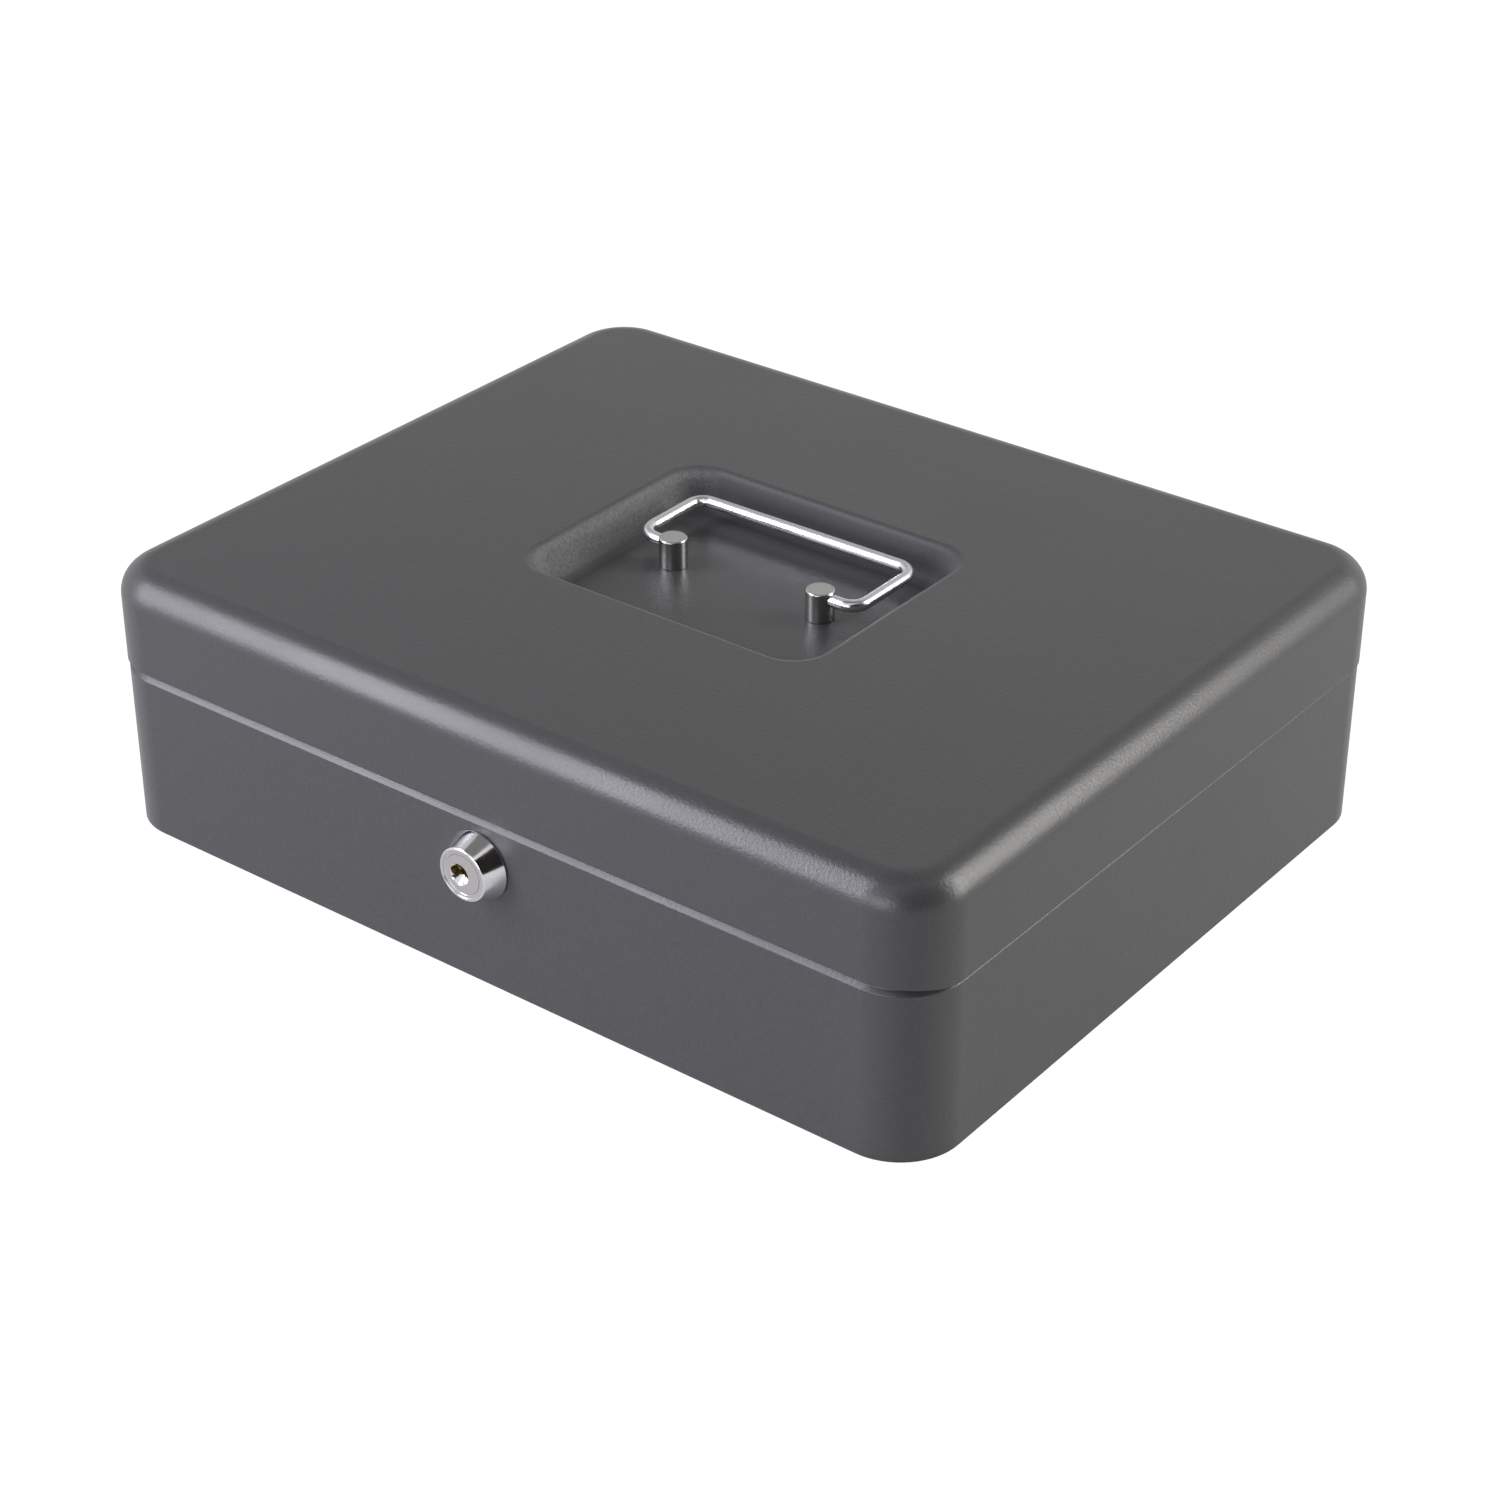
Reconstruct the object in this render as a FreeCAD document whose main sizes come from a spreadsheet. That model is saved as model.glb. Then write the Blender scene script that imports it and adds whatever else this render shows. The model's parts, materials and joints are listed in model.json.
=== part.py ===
import FreeCAD, Part
import math
import os
import Sketcher

# Steel cash box: case with neck and bottom pan, pressed lid with a wire handle in a recess,
# cam lock in the front wall, knuckle hinges on the back and a lift-out coin tray.
# +X runs along the front, the lock is on -Y, +Z is up. The origin is the middle of the underside.

# Driving dimensions, in millimetres and degrees
SIZES = (
    ("box_length", 300.0, "outside length along the front"),
    ("box_depth", 242.0, "outside depth from front to back"),
    ("box_height", 86.0, "underside to the top of the lid"),
    ("corner_radius", 19.5, "upright corners of case and lid"),
    ("sheet_thickness", 0.8, "steel sheet of case, lid and ledges"),
    ("lid_height", 33.4, "foot of the shoulder to the top of the lid"),
    ("neck_gap", 0.9, "play between neck and lid wall"),
    ("neck_height", 10.0, "upright part of the neck"),
    ("lid_overhang", 0.4, "lid wall proud of the case wall"),
    ("seam_gap", 0.8, "lid edge above the foot of the shoulder, at the sides"),
    ("front_trim", 2.1, "how much higher the lid edge is along the front"),
    ("trim_run", 14.0, "length of the slope from the front edge to the side edge"),
    ("lid_edge_radius", 9.6, "rounding between the top and the walls of the lid"),
    ("pan_height", 9.0, "turned-up flange of the bottom plate"),
    ("pan_radius", 1.8, "outside bend of the bottom plate"),
    ("pan_gap", 0.1, "play between bottom plate and case wall"),
    ("recess_length", 104.6, "recess in the lid along X, at the top"),
    ("recess_width", 83.6, "recess in the lid along Y, at the top"),
    ("recess_depth", 11.2, "top of the lid to the recess floor"),
    ("recess_corner", 12.0, "plan corner of the recess, at the top"),
    ("recess_draft", 12.0, "lean of the recess walls, degrees"),
    ("recess_rim_radius", 2.5, "rounding of the recess rim"),
    ("recess_floor_radius", 3.5, "rounding at the recess floor"),
    ("post_spacing", 55.2, "handle posts, centre to centre"),
    ("post_back", 0.7, "handle posts behind the middle of the lid"),
    ("post_diameter", 8.9, "handle posts"),
    ("post_height", 9.5, "handle posts above the recess floor"),
    ("post_chamfer", 0.5, "top edge of the handle posts"),
    ("pivot_height", 6.9, "handle axis above the recess floor"),
    ("pivot_bore_depth", 6.4, "blind bore for the wire in each post"),
    ("wire_diameter", 3.8, "handle wire"),
    ("wire_clearance", 0.05, "radial play of the wire in its bore"),
    ("wire_end_gap", 0.4, "wire end to the bottom of its bore"),
    ("arm_spacing", 81.0, "handle arms, centre to centre"),
    ("arm_length", 30.0, "handle axis to the grip bar"),
    ("wire_bend", 5.5, "bend radius at the middle of the wire"),
    ("screw_diameter", 4.0, "post screws and cam screw"),
    ("screw_clearance", 0.05, "radial play of a screw in its thread"),
    ("screw_hole_clearance", 0.2, "radial play of a screw in sheet and washers"),
    ("screw_grip", 3.8, "length of screw in its thread"),
    ("screw_tip_gap", 0.4, "thread deeper than the screw"),
    ("screw_head_diameter", 7.0, "screw heads"),
    ("screw_head_height", 2.2, "screw heads"),
    ("screw_head_chamfer", 0.5, "edge of the screw heads"),
    ("screw_slot_width", 1.0, "slot across a screw head"),
    ("screw_slot_depth", 1.0, "slot across a screw head"),
    ("washer_diameter", 9.0, "washers under the screws"),
    ("washer_thickness", 0.8, "washers under the screws"),
    ("hinge_inset", 55.0, "end of the case to the middle of a hinge"),
    ("hinge_width", 36.0, "width of a hinge"),
    ("lid_knuckle", 12.0, "length of the middle knuckle, on the lid"),
    ("leaf_height", 14.0, "hinge axis to the far edge of a leaf"),
    ("leaf_thickness", 1.2, "hinge leaves"),
    ("pin_diameter", 2.8, "hinge pins"),
    ("pin_clearance", 0.05, "radial play of a pin in its knuckles"),
    ("pin_overhang", 0.6, "pin beyond the hinge at each end"),
    ("pin_chamfer", 0.4, "ends of the hinge pins"),
    ("knuckle_gap", 0.3, "play between neighbouring knuckles"),
    ("hinge_standoff", 0.4, "knuckles clear of the back wall"),
    ("lock_drop", 13.2, "lock axis below the foot of the shoulder"),
    ("bezel_base_diameter", 22.2, "lock cone where it meets the wall"),
    ("bezel_face_diameter", 16.4, "lock cone at its front"),
    ("bezel_projection", 7.0, "lock front before the wall"),
    ("bezel_rim_width", 0.9, "raised rim round the lock face"),
    ("bezel_rim_depth", 0.25, "lock face below its rim"),
    ("barrel_diameter", 16.0, "threaded barrel of the lock"),
    ("barrel_flats", 14.0, "barrel across its flats"),
    ("barrel_length", 16.0, "wall face to the back end of the barrel"),
    ("barrel_hole_gap", 0.2, "play of the barrel in the wall"),
    ("barrel_hole_corner", 4.0, "corners of the hole for the barrel"),
    ("plug_head_diameter", 12.4, "plug at its face"),
    ("plug_head_length", 3.0, "length of the plug head"),
    ("plug_core_diameter", 10.6, "plug behind its head"),
    ("plug_clearance", 0.05, "radial play of the plug in the barrel"),
    ("plug_end_gap", 0.1, "end play of the plug"),
    ("keyway_length", 6.4, "keyway, which lies level"),
    ("keyway_width", 3.2, "keyway"),
    ("keyway_left", 1.2, "middle of the keyway and its mouth left of the lock axis"),
    ("keyway_corner", 1.4, "keyway corners"),
    ("keyway_depth", 14.0, "plug face to the end of the keyway"),
    ("mouth_diameter", 6.8, "countersunk mouth of the keyway"),
    ("mouth_depth", 2.2, "countersunk mouth of the keyway"),
    ("mouth_draft", 45.0, "lean of the countersink, degrees"),
    ("mouth_drop", 0.4, "middle of the mouth below the lock axis"),
    ("wafer_pitch", 2.2, "wafer to wafer"),
    ("wafer_count", 5.0, "number of wafers"),
    ("wafer_start", 0.8, "plug head to the first wafer slot"),
    ("wafer_thickness", 0.8, "wafers"),
    ("wafer_width", 5.8, "wafers"),
    ("wafer_length", 8.4, "wafers"),
    ("wafer_gap", 0.1, "play of a wafer and its spring in the plug, each side"),
    ("wafer_wing", 1.2, "wing that the spring pushes"),
    ("wafer_wing_thickness", 0.6, "wing that the spring pushes"),
    ("wafer_wing_end", 3.2, "lock axis to the far side of the wing"),
    ("wafer_window_length", 5.0, "key window in a wafer"),
    ("wafer_window_width", 3.4, "key window in a wafer"),
    ("spring_length", 3.2, "wafer springs"),
    ("spring_diameter", 0.8, "wafer springs"),
    ("spring_bore", 0.4, "wafer springs"),
    ("groove_depth", 0.7, "groove in the barrel that the wafers lock into"),
    ("nut_across_flats", 20.0, "lock nut"),
    ("nut_thickness", 3.0, "lock nut"),
    ("lock_washer_diameter", 20.0, "washer under the lock nut"),
    ("lock_washer_thickness", 0.8, "washer under the lock nut"),
    ("cam_length", 24.5, "lock axis to the tip of the cam"),
    ("cam_width", 11.0, "cam"),
    ("cam_tail", 7.5, "lock axis to the short end of the cam"),
    ("cam_corner", 4.0, "cam corners"),
    ("cam_thickness", 2.0, "cam"),
    ("cam_square", 6.8, "square end of the plug that drives the cam"),
    ("cam_square_gap", 0.1, "play of the cam on its square, each side"),
    ("cam_clamp", 0.1, "cam proud of the square, so that the washer clamps it"),
    ("catch_side", 14.0, "lock axis to the near edge of the catch"),
    ("catch_width", 10.0, "catch"),
    ("catch_thickness", 1.5, "catch"),
    ("catch_top_gap", 2.0, "flange of the catch below the rounding of the lid"),
    ("catch_neck_gap", 2.5, "catch clear of the neck"),
    ("catch_step_gap", 1.0, "catch above the top of the neck"),
    ("catch_cam_gap", 0.6, "foot of the catch below the turned cam"),
    ("catch_foot_overrun", 0.8, "foot of the catch past the cam"),
    ("ledge_length", 150.0, "tray ledges"),
    ("ledge_width", 10.0, "tray ledges"),
    ("ledge_drop", 9.0, "tray ledges, flange on the wall"),
    ("tray_height", 30.0, "coin tray"),
    ("tray_drop", 2.1, "top of the tray below the top of the neck"),
    ("tray_gap", 1.2, "tray clear of the neck"),
    ("tray_lock_gap", 2.0, "tray clear of the cam screw"),
    ("tray_corner", 15.0, "upright corners of the tray"),
    ("tray_foot_radius", 3.0, "bottom edge of the tray"),
    ("tray_wall", 2.0, "tray walls, floors and dividers"),
    ("cup_row_depth", 92.0, "coin cups, front to back"),
    ("cup_count", 5.0, "coin cups in the front row"),
    ("cup_floor_radius", 11.0, "rounding at the floor of the coin cups"),
    ("bin_count", 3.0, "bins in the back row"),
    ("bin_floor_radius", 5.0, "rounding at the floor of the bins"),
    ("grip_width", 30.0, "finger notch in each end of the tray"),
    ("grip_depth", 10.0, "finger notch in each end of the tray"),
    ("grip_corner", 6.0, "corners of the finger notch"),
)

document = FreeCAD.newDocument("cash_box")
sheet = document.addObject("Spreadsheet::Sheet", "Sizes")
pieces = []


class Size:
    """A number together with the sheet formula that keeps it up to date."""

    def __init__(self, number, formula):
        self.number = number
        self.formula = formula

    def __add__(self, other):
        other = as_size(other)
        return Size(self.number + other.number, f"({self.formula} + {other.formula})")

    def __sub__(self, other):
        other = as_size(other)
        return Size(self.number - other.number, f"({self.formula} - {other.formula})")

    def __mul__(self, other):
        other = as_size(other)
        return Size(self.number * other.number, f"({self.formula} * {other.formula})")

    def __truediv__(self, other):
        other = as_size(other)
        return Size(self.number / other.number, f"({self.formula} / {other.formula})")

    def __neg__(self):
        return as_size(0) - self


def as_size(value):
    if isinstance(value, Size):
        return value
    return Size(float(value), f"({float(value)})")


class SizeBook:
    """The sheet's cells as attributes."""

    def __init__(self, rows):
        for row, (name, number, note) in enumerate(rows, start=1):
            sheet.set(f"A{row}", name)
            sheet.set(f"B{row}", str(number))
            sheet.set(f"C{row}", note)
            sheet.setAlias(f"B{row}", name)
            setattr(self, name, Size(number, f"Sizes.{name}"))


size = SizeBook(SIZES)
document.recompute()


# Helpers for sketches, features and primitives
def bind(thing, place, value):
    thing.setExpression(place, as_size(value).formula)


def new_body(label):
    body = document.addObject("PartDesign::Body", label)
    body.Label = label
    return body


def origin_part(body, role):
    return next(item for item in body.Origin.OriginFeatures if item.Role == role)


def new_sketch(body, role, offset=0):
    sketch = body.newObject("Sketcher::SketchObject", "outline")
    sketch.AttachmentSupport = [(origin_part(body, role), "")]
    sketch.MapMode = "FlatFace"
    bind(sketch, "AttachmentOffset.Base.z", offset)
    return sketch


def limit(sketch, kind, *target, value):
    value = as_size(value)
    index = sketch.addConstraint(Sketcher.Constraint(kind, *target, value.number))
    sketch.setExpression(f"Constraints[{index}]", value.formula)


def pin_point(sketch, curve, end, corner):
    limit(sketch, "DistanceX", curve, end, value=corner[0])
    limit(sketch, "DistanceY", curve, end, value=corner[1])


def vector(corner):
    return FreeCAD.Vector(as_size(corner[0]).number, as_size(corner[1]).number, 0)


def circle(sketch, centre, diameter):
    diameter = as_size(diameter)
    ring = Part.Circle(vector(centre), FreeCAD.Vector(0, 0, 1), diameter.number / 2)
    curve = sketch.addGeometry(ring)
    limit(sketch, "Diameter", curve, value=diameter)
    pin_point(sketch, curve, 3, centre)


def polygon(sketch, corners):
    spots = [vector(corner) for corner in corners]
    ends = zip(spots, spots[1:] + spots[:1])
    lines = [sketch.addGeometry(Part.LineSegment(spot, after)) for spot, after in ends]
    for line, after in zip(lines, lines[1:] + lines[:1]):
        sketch.addConstraint(Sketcher.Constraint("Coincident", line, 2, after, 1))
    for line, corner in zip(lines, corners):
        pin_point(sketch, line, 1, corner)


def rounded_path(sketch, corners, radius, closed=True):
    """Level and upright lines from corner to corner, joined by tangent arcs of one radius."""
    spots = [vector(corner) for corner in corners]
    bend = as_size(radius).number
    count = len(spots)
    runs = [(i, (i + 1) % count) for i in range(count if closed else count - 1)]
    ways = [(spots[b] - spots[a]).normalize() for a, b in runs]
    lines = []
    for (a, b), way in zip(runs, ways):
        start = spots[a] + way * bend if closed or a > 0 else spots[a]
        stop = spots[b] - way * bend if closed or b < count - 1 else spots[b]
        line = sketch.addGeometry(Part.LineSegment(start, stop))
        if abs(way.x) < abs(way.y):
            sketch.addConstraint(Sketcher.Constraint("Vertical", line))
            limit(sketch, "DistanceX", line, 1, value=corners[a][0])
        else:
            sketch.addConstraint(Sketcher.Constraint("Horizontal", line))
            limit(sketch, "DistanceY", line, 1, value=corners[a][1])
        lines.append(line)
    if not closed:
        limit(sketch, "DistanceX", lines[0], 1, value=corners[0][0])
        limit(sketch, "DistanceX", lines[-1], 2, value=corners[-1][0])
    joints = list(zip(lines, lines[1:], ways, ways[1:], spots[1:]))
    if closed:
        joints.append((lines[-1], lines[0], ways[-1], ways[0], spots[0]))
    arcs = []
    for before, after, way_in, way_out, spot in joints:
        centre = spot - way_in * bend + way_out * bend
        left_turn = way_in.cross(way_out).z > 0
        first = -way_out if left_turn else -way_in
        angle = math.atan2(first.y, first.x)
        base = Part.Circle(centre, FreeCAD.Vector(0, 0, 1), bend)
        arc = sketch.addGeometry(Part.ArcOfCircle(base, angle, angle + math.pi / 2))
        near, far = (1, 2) if left_turn else (2, 1)
        sketch.addConstraint(Sketcher.Constraint("Tangent", before, 2, arc, near))
        sketch.addConstraint(Sketcher.Constraint("Tangent", arc, far, after, 1))
        arcs.append(arc)
    limit(sketch, "Radius", arcs[0], value=radius)
    for arc in arcs[1:]:
        sketch.addConstraint(Sketcher.Constraint("Equal", arcs[0], arc))


def rounded_rectangle(sketch, low, high, radius):
    corners = (low, (high[0], low[1]), high, (low[0], high[1]))
    rounded_path(sketch, corners, radius)


def rectangle(sketch, low, high):
    polygon(sketch, (low, (high[0], low[1]), high, (low[0], high[1])))


def feature(body, kind, **settings):
    made = body.newObject(f"PartDesign::{kind}", kind.lower())
    for name, value in settings.items():
        setattr(made, name, value)
    return made


def pad(body, sketch, length, both_ways=False, back=False):
    made = feature(body, "Pad", Profile=sketch, Reversed=back)
    made.SideType = "Symmetric" if both_ways else "One side"
    bind(made, "Length", length)
    document.recompute()


def pocket(body, sketch, length=None, both_ways=False, back=False, draft=0):
    """Cut against the sketch's normal, or along it with back, to a length or through everything."""
    volume = body.Shape.Volume
    made = feature(body, "Pocket", Profile=sketch, Reversed=back)
    made.SideType = "Symmetric" if both_ways else "One side"
    bind(made, "TaperAngle", -as_size(draft))
    if length is None:
        made.Type = "ThroughAll"
    else:
        bind(made, "Length", length)
    document.recompute()
    if body.Shape.Volume >= volume:
        raise RuntimeError(f"{body.Label}: a cut removes nothing")
    return made


def revolve(body, sketch, axis="V_Axis"):
    feature(body, "Revolution", Profile=sketch, ReferenceAxis=(sketch, [axis]), Angle=360)
    document.recompute()


def repeat(body, originals, sketch, axis, span, count):
    made = feature(body, "LinearPattern", Originals=originals, Direction=(sketch, [axis]))
    bind(made, "Length", span)
    bind(made, "Occurrences", count)
    body.Tip = made
    document.recompute()


def edges_at(body, test):
    edges = body.Shape.Edges
    return [f"Edge{number}" for number, edge in enumerate(edges, start=1) if test(edge.BoundBox)]


def level_edge(height):
    """Test for the edges that lie flat at one height."""
    def test(box):
        return abs(box.ZMin - height.number) < flat and abs(box.ZMax - height.number) < flat
    return test


def soften(body, kind, test, amount):
    """Fillet or chamfer the edges whose boxes pass the test."""
    made = feature(body, kind, Base=(body.Tip, edges_at(body, test)))
    bind(made, "Radius" if kind == "Fillet" else "Size", amount)
    document.recompute()


def shell(body, levels, thickness):
    """Hollow the solid, open at the level faces that lie at the given heights."""
    open_faces = []
    for number, face in enumerate(body.Shape.Faces, start=1):
        box = face.BoundBox
        if box.ZLength < flat and any(abs(box.ZMin - level.number) < flat for level in levels):
            open_faces.append(f"Face{number}")
    made = feature(body, "Thickness", Base=(body.Tip, open_faces), Join="Intersection", Reversed=True)
    bind(made, "Value", thickness)
    document.recompute()


def place(thing, x=0, y=0, z=0, turn=None):
    """Set a piece's place, and its turn as an axis and an angle in degrees."""
    if turn:
        rotation = FreeCAD.Rotation(FreeCAD.Vector(*turn[0]), turn[1])
        thing.Placement = FreeCAD.Placement(FreeCAD.Vector(), rotation)
    for axis, value in (("x", x), ("y", y), ("z", z)):
        bind(thing, f"Placement.Base.{axis}", value)


def block(low, high):
    made = document.addObject("Part::Box", "block")
    for name, start, stop in zip(("Length", "Width", "Height"), low, high):
        bind(made, name, as_size(stop) - start)
    place(made, *low)
    return made


def cylinder(diameter, length):
    made = document.addObject("Part::Cylinder", "cylinder")
    bind(made, "Radius", as_size(diameter) / 2)
    bind(made, "Height", length)
    return made


def cut(label, base, tool):
    made = document.addObject("Part::Cut", label)
    made.Label = label
    made.Base = base
    made.Tool = tool
    return made


def ring(label, outer, bore, thickness):
    return cut(label, cylinder(outer, thickness), cylinder(bore, thickness))


def group(label, members):
    made = document.addObject("Part::Compound", label)
    made.Label = label
    made.Links = members
    return made


def keep(piece):
    pieces.append(piece)


flat = 1e-4
shoulder_draft = 45
half_turn = ((0, 0, 1), 180)
to_front = ((1, 0, 0), 90)
to_back = ((1, 0, 0), -90)
to_right = ((0, 1, 0), 90)

# Places that several pieces share
half_length = size.box_length / 2
half_depth = size.box_depth / 2
front = -half_depth
lid_front = front - size.lid_overhang
lid_wall = lid_front + size.sheet_thickness
neck_inset = size.sheet_thickness - size.lid_overhang + size.neck_gap
case_height = size.box_height - size.lid_height
lock_height = case_height - size.lock_drop
shoulder_top = case_height + neck_inset
neck_top = shoulder_top + size.neck_height
neck_inside = neck_inset + size.sheet_thickness
lid_edge = case_height + size.seam_gap
recess_floor = size.box_height - size.recess_depth
recess_under = recess_floor - size.sheet_thickness
post_x = size.post_spacing / 2
pivot_z = recess_floor + size.pivot_height
knuckle_radius = size.pin_diameter / 2 + size.pin_clearance + size.leaf_thickness
hinge_y = half_depth + knuckle_radius + size.hinge_standoff
hinge_z = case_height + size.seam_gap / 2
lock_face = front - size.bezel_projection + size.bezel_rim_depth
barrel_end = front + size.barrel_length
plug_head_end = lock_face + size.plug_head_length
plug_end = barrel_end + size.plug_end_gap
cam_back = plug_end + size.cam_thickness
cam_washer_back = cam_back + size.washer_thickness
cam_screw_back = cam_washer_back + size.screw_head_height
wafer_slot = size.wafer_thickness + size.wafer_gap * 2
wafer_first = plug_head_end + size.wafer_start
tray_bottom = neck_top - size.tray_drop - size.tray_height
tray_end = half_length - neck_inside - size.tray_gap
screw_hole = size.screw_diameter + size.screw_hole_clearance * 2
thread_bore = size.screw_diameter + size.screw_clearance * 2


def box_outline(sketch, inset):
    """Rounded rectangle of the box, set in by the same amount all round."""
    x = half_length - inset
    y = half_depth - inset
    rounded_rectangle(sketch, (-x, -y), (x, y), size.corner_radius - inset)


# Case
def body_wall():
    body = new_body("body_wall")
    outline = new_sketch(body, "XY_Plane")
    box_outline(outline, as_size(0))
    pad(body, outline, shoulder_top)
    soften(body, "Chamfer", level_edge(shoulder_top), neck_inset)
    neck = new_sketch(body, "XY_Plane", shoulder_top)
    box_outline(neck, neck_inset)
    pad(body, neck, size.neck_height)
    inside = new_sketch(body, "XY_Plane")
    box_outline(inside, size.sheet_thickness)
    slope_foot = case_height - size.sheet_thickness * (math.sqrt(2) - 1)
    pocket(body, inside, slope_foot, back=True)
    slope = new_sketch(body, "XY_Plane", slope_foot)
    box_outline(slope, size.sheet_thickness)
    pocket(body, slope, neck_inset, back=True, draft=shoulder_draft)
    mouth = new_sketch(body, "XY_Plane", slope_foot)
    box_outline(mouth, neck_inside)
    pocket(body, mouth, back=True)
    hole = new_sketch(body, "XZ_Plane", half_depth)
    x = size.barrel_flats / 2 + size.barrel_hole_gap
    z = size.barrel_diameter / 2 + size.barrel_hole_gap
    low = (-x, lock_height - z)
    high = (x, lock_height + z)
    rounded_rectangle(hole, low, high, size.barrel_hole_corner)
    pocket(body, hole, size.sheet_thickness * 2)
    keep(body)


def bottom_plate():
    body = new_body("bottom_plate")
    outline = new_sketch(body, "XY_Plane")
    box_outline(outline, size.sheet_thickness + size.pan_gap)
    pad(body, outline, size.pan_height)
    soften(body, "Fillet", level_edge(as_size(0)), size.pan_radius)
    inside = new_sketch(body, "XY_Plane", size.pan_height)
    box_outline(inside, size.sheet_thickness * 2 + size.pan_gap)
    pocket(body, inside, size.pan_height - size.sheet_thickness)
    soften(body, "Fillet", level_edge(size.sheet_thickness), size.pan_radius - size.sheet_thickness)
    keep(body)


def tray_ledge(side, turn):
    body = new_body(f"tray_ledge_{side}")
    wall = half_length - size.sheet_thickness
    lip = wall - size.ledge_width
    under = tray_bottom - size.sheet_thickness
    foot = tray_bottom - size.ledge_drop
    inner = wall - size.sheet_thickness
    corner = new_sketch(body, "XZ_Plane")
    polygon(corner, (
        (wall, foot), (wall, tray_bottom), (lip, tray_bottom),
        (lip, under), (inner, under), (inner, foot)))
    pad(body, corner, size.ledge_length, both_ways=True)
    place(body, turn=turn)
    keep(body)


# Lid
def lid_shell():
    body = new_body("lid_shell")
    outline = new_sketch(body, "XY_Plane", lid_edge)
    box_outline(outline, -size.lid_overhang)
    pad(body, outline, size.box_height - lid_edge)
    soften(body, "Fillet", level_edge(size.box_height), size.lid_edge_radius)
    recess = new_sketch(body, "XY_Plane", size.box_height)
    x = size.recess_length / 2
    y = size.recess_width / 2
    rounded_rectangle(recess, (-x, -y), (x, y), size.recess_corner)
    pocket(body, recess, size.recess_depth, draft=size.recess_draft)
    soften(body, "Fillet", in_recess(recess_floor), size.recess_floor_radius)
    soften(body, "Fillet", in_recess(size.box_height), size.recess_rim_radius)
    shell(body, (lid_edge,), size.sheet_thickness)
    trim = new_sketch(body, "YZ_Plane")
    trim_stop = lid_wall + size.trim_run
    raised = lid_edge + size.front_trim
    below = lid_edge - size.front_trim
    outside = lid_front - size.sheet_thickness
    polygon(trim, (
        (outside, below), (trim_stop, below), (trim_stop, lid_edge),
        (lid_wall, raised), (outside, raised)))
    pocket(body, trim, both_ways=True)
    holes = new_sketch(body, "XY_Plane", recess_floor)
    for x in (-post_x, post_x):
        circle(holes, (x, size.post_back), screw_hole)
    pocket(body, holes, size.sheet_thickness * 2)
    keep(body)


def in_recess(level):
    """Test for the level edges of the recess at one height."""
    level_test = level_edge(level)

    def test(box):
        return level_test(box) and max(abs(box.XMin), abs(box.XMax)) < size.recess_length.number / 2 + flat
    return test


def lid_catch():
    body = new_body("lid_catch")
    hook = front + neck_inside + size.catch_neck_gap
    tip = cam_back + size.catch_foot_overrun
    step = neck_top + size.catch_step_gap
    foot = lock_height - size.cam_width / 2 - size.catch_cam_gap
    thick = size.catch_thickness
    side = new_sketch(body, "YZ_Plane", size.catch_side)
    flange_foot = step + thick
    flange_top = size.box_height - size.lid_edge_radius - size.catch_top_gap
    polygon(side, (
        (lid_wall, step), (hook, step), (hook, foot - thick), (tip, foot - thick), (tip, foot),
        (hook + thick, foot), (hook + thick, flange_foot), (lid_wall + thick, flange_foot),
        (lid_wall + thick, flange_top), (lid_wall, flange_top)))
    pad(body, side, size.catch_width)
    keep(body)


# Handle
def handle_post(side, x, turn):
    body = new_body(f"handle_post_{side}")
    base = new_sketch(body, "XY_Plane")
    circle(base, (0, 0), size.post_diameter)
    pad(body, base, size.post_height)
    soften(body, "Chamfer", level_edge(size.post_height), size.post_chamfer)
    thread = new_sketch(body, "XY_Plane")
    circle(thread, (0, 0), thread_bore)
    pocket(body, thread, size.screw_grip + size.screw_tip_gap, back=True)
    bore = new_sketch(body, "YZ_Plane", size.post_diameter / 2)
    circle(bore, (0, size.pivot_height), size.wire_diameter + size.wire_clearance * 2)
    pocket(body, bore, size.pivot_bore_depth)
    place(body, x, size.post_back, recess_floor, turn)
    keep(body)


def carry_handle():
    body = new_body("carry_handle")
    end = post_x + size.post_diameter / 2 - size.pivot_bore_depth + size.wire_end_gap
    arm = size.arm_spacing / 2
    path = new_sketch(body, "XY_Plane")
    bar = size.arm_length
    corners = ((end, 0), (arm, 0), (arm, bar), (-arm, bar), (-arm, 0), (-end, 0))
    rounded_path(path, corners, size.wire_bend, closed=False)
    section = new_sketch(body, "YZ_Plane", end)
    circle(section, (0, 0), size.wire_diameter)
    document.recompute()
    feature(body, "AdditivePipe", Profile=section, Spine=(path, []))
    place(body, 0, size.post_back, pivot_z)
    document.recompute()
    wire_volume = path.Shape.Length * math.pi * size.wire_diameter.number ** 2 / 4
    if abs(body.Shape.Volume / wire_volume - 1) > flat:
        raise RuntimeError("carry_handle: the swept wire has the wrong volume")
    keep(body)


# Screws and washers
def screw(label, length):
    """Slotted screw along Z: the head hangs below the origin and the shank stands on it."""
    body = new_body(label)
    shank = size.screw_diameter / 2
    head = size.screw_head_diameter / 2
    low = -size.screw_head_height
    edge = size.screw_head_chamfer
    half = new_sketch(body, "XZ_Plane")
    polygon(half, (
        (0, low), (head - edge, low), (head, low + edge), (head, 0),
        (shank, 0), (shank, length), (0, length)))
    revolve(body, half)
    slot = new_sketch(body, "XY_Plane", low)
    rectangle(slot, (-head, -size.screw_slot_width / 2), (head, size.screw_slot_width / 2))
    pocket(body, slot, size.screw_slot_depth, back=True)
    return body


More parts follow.
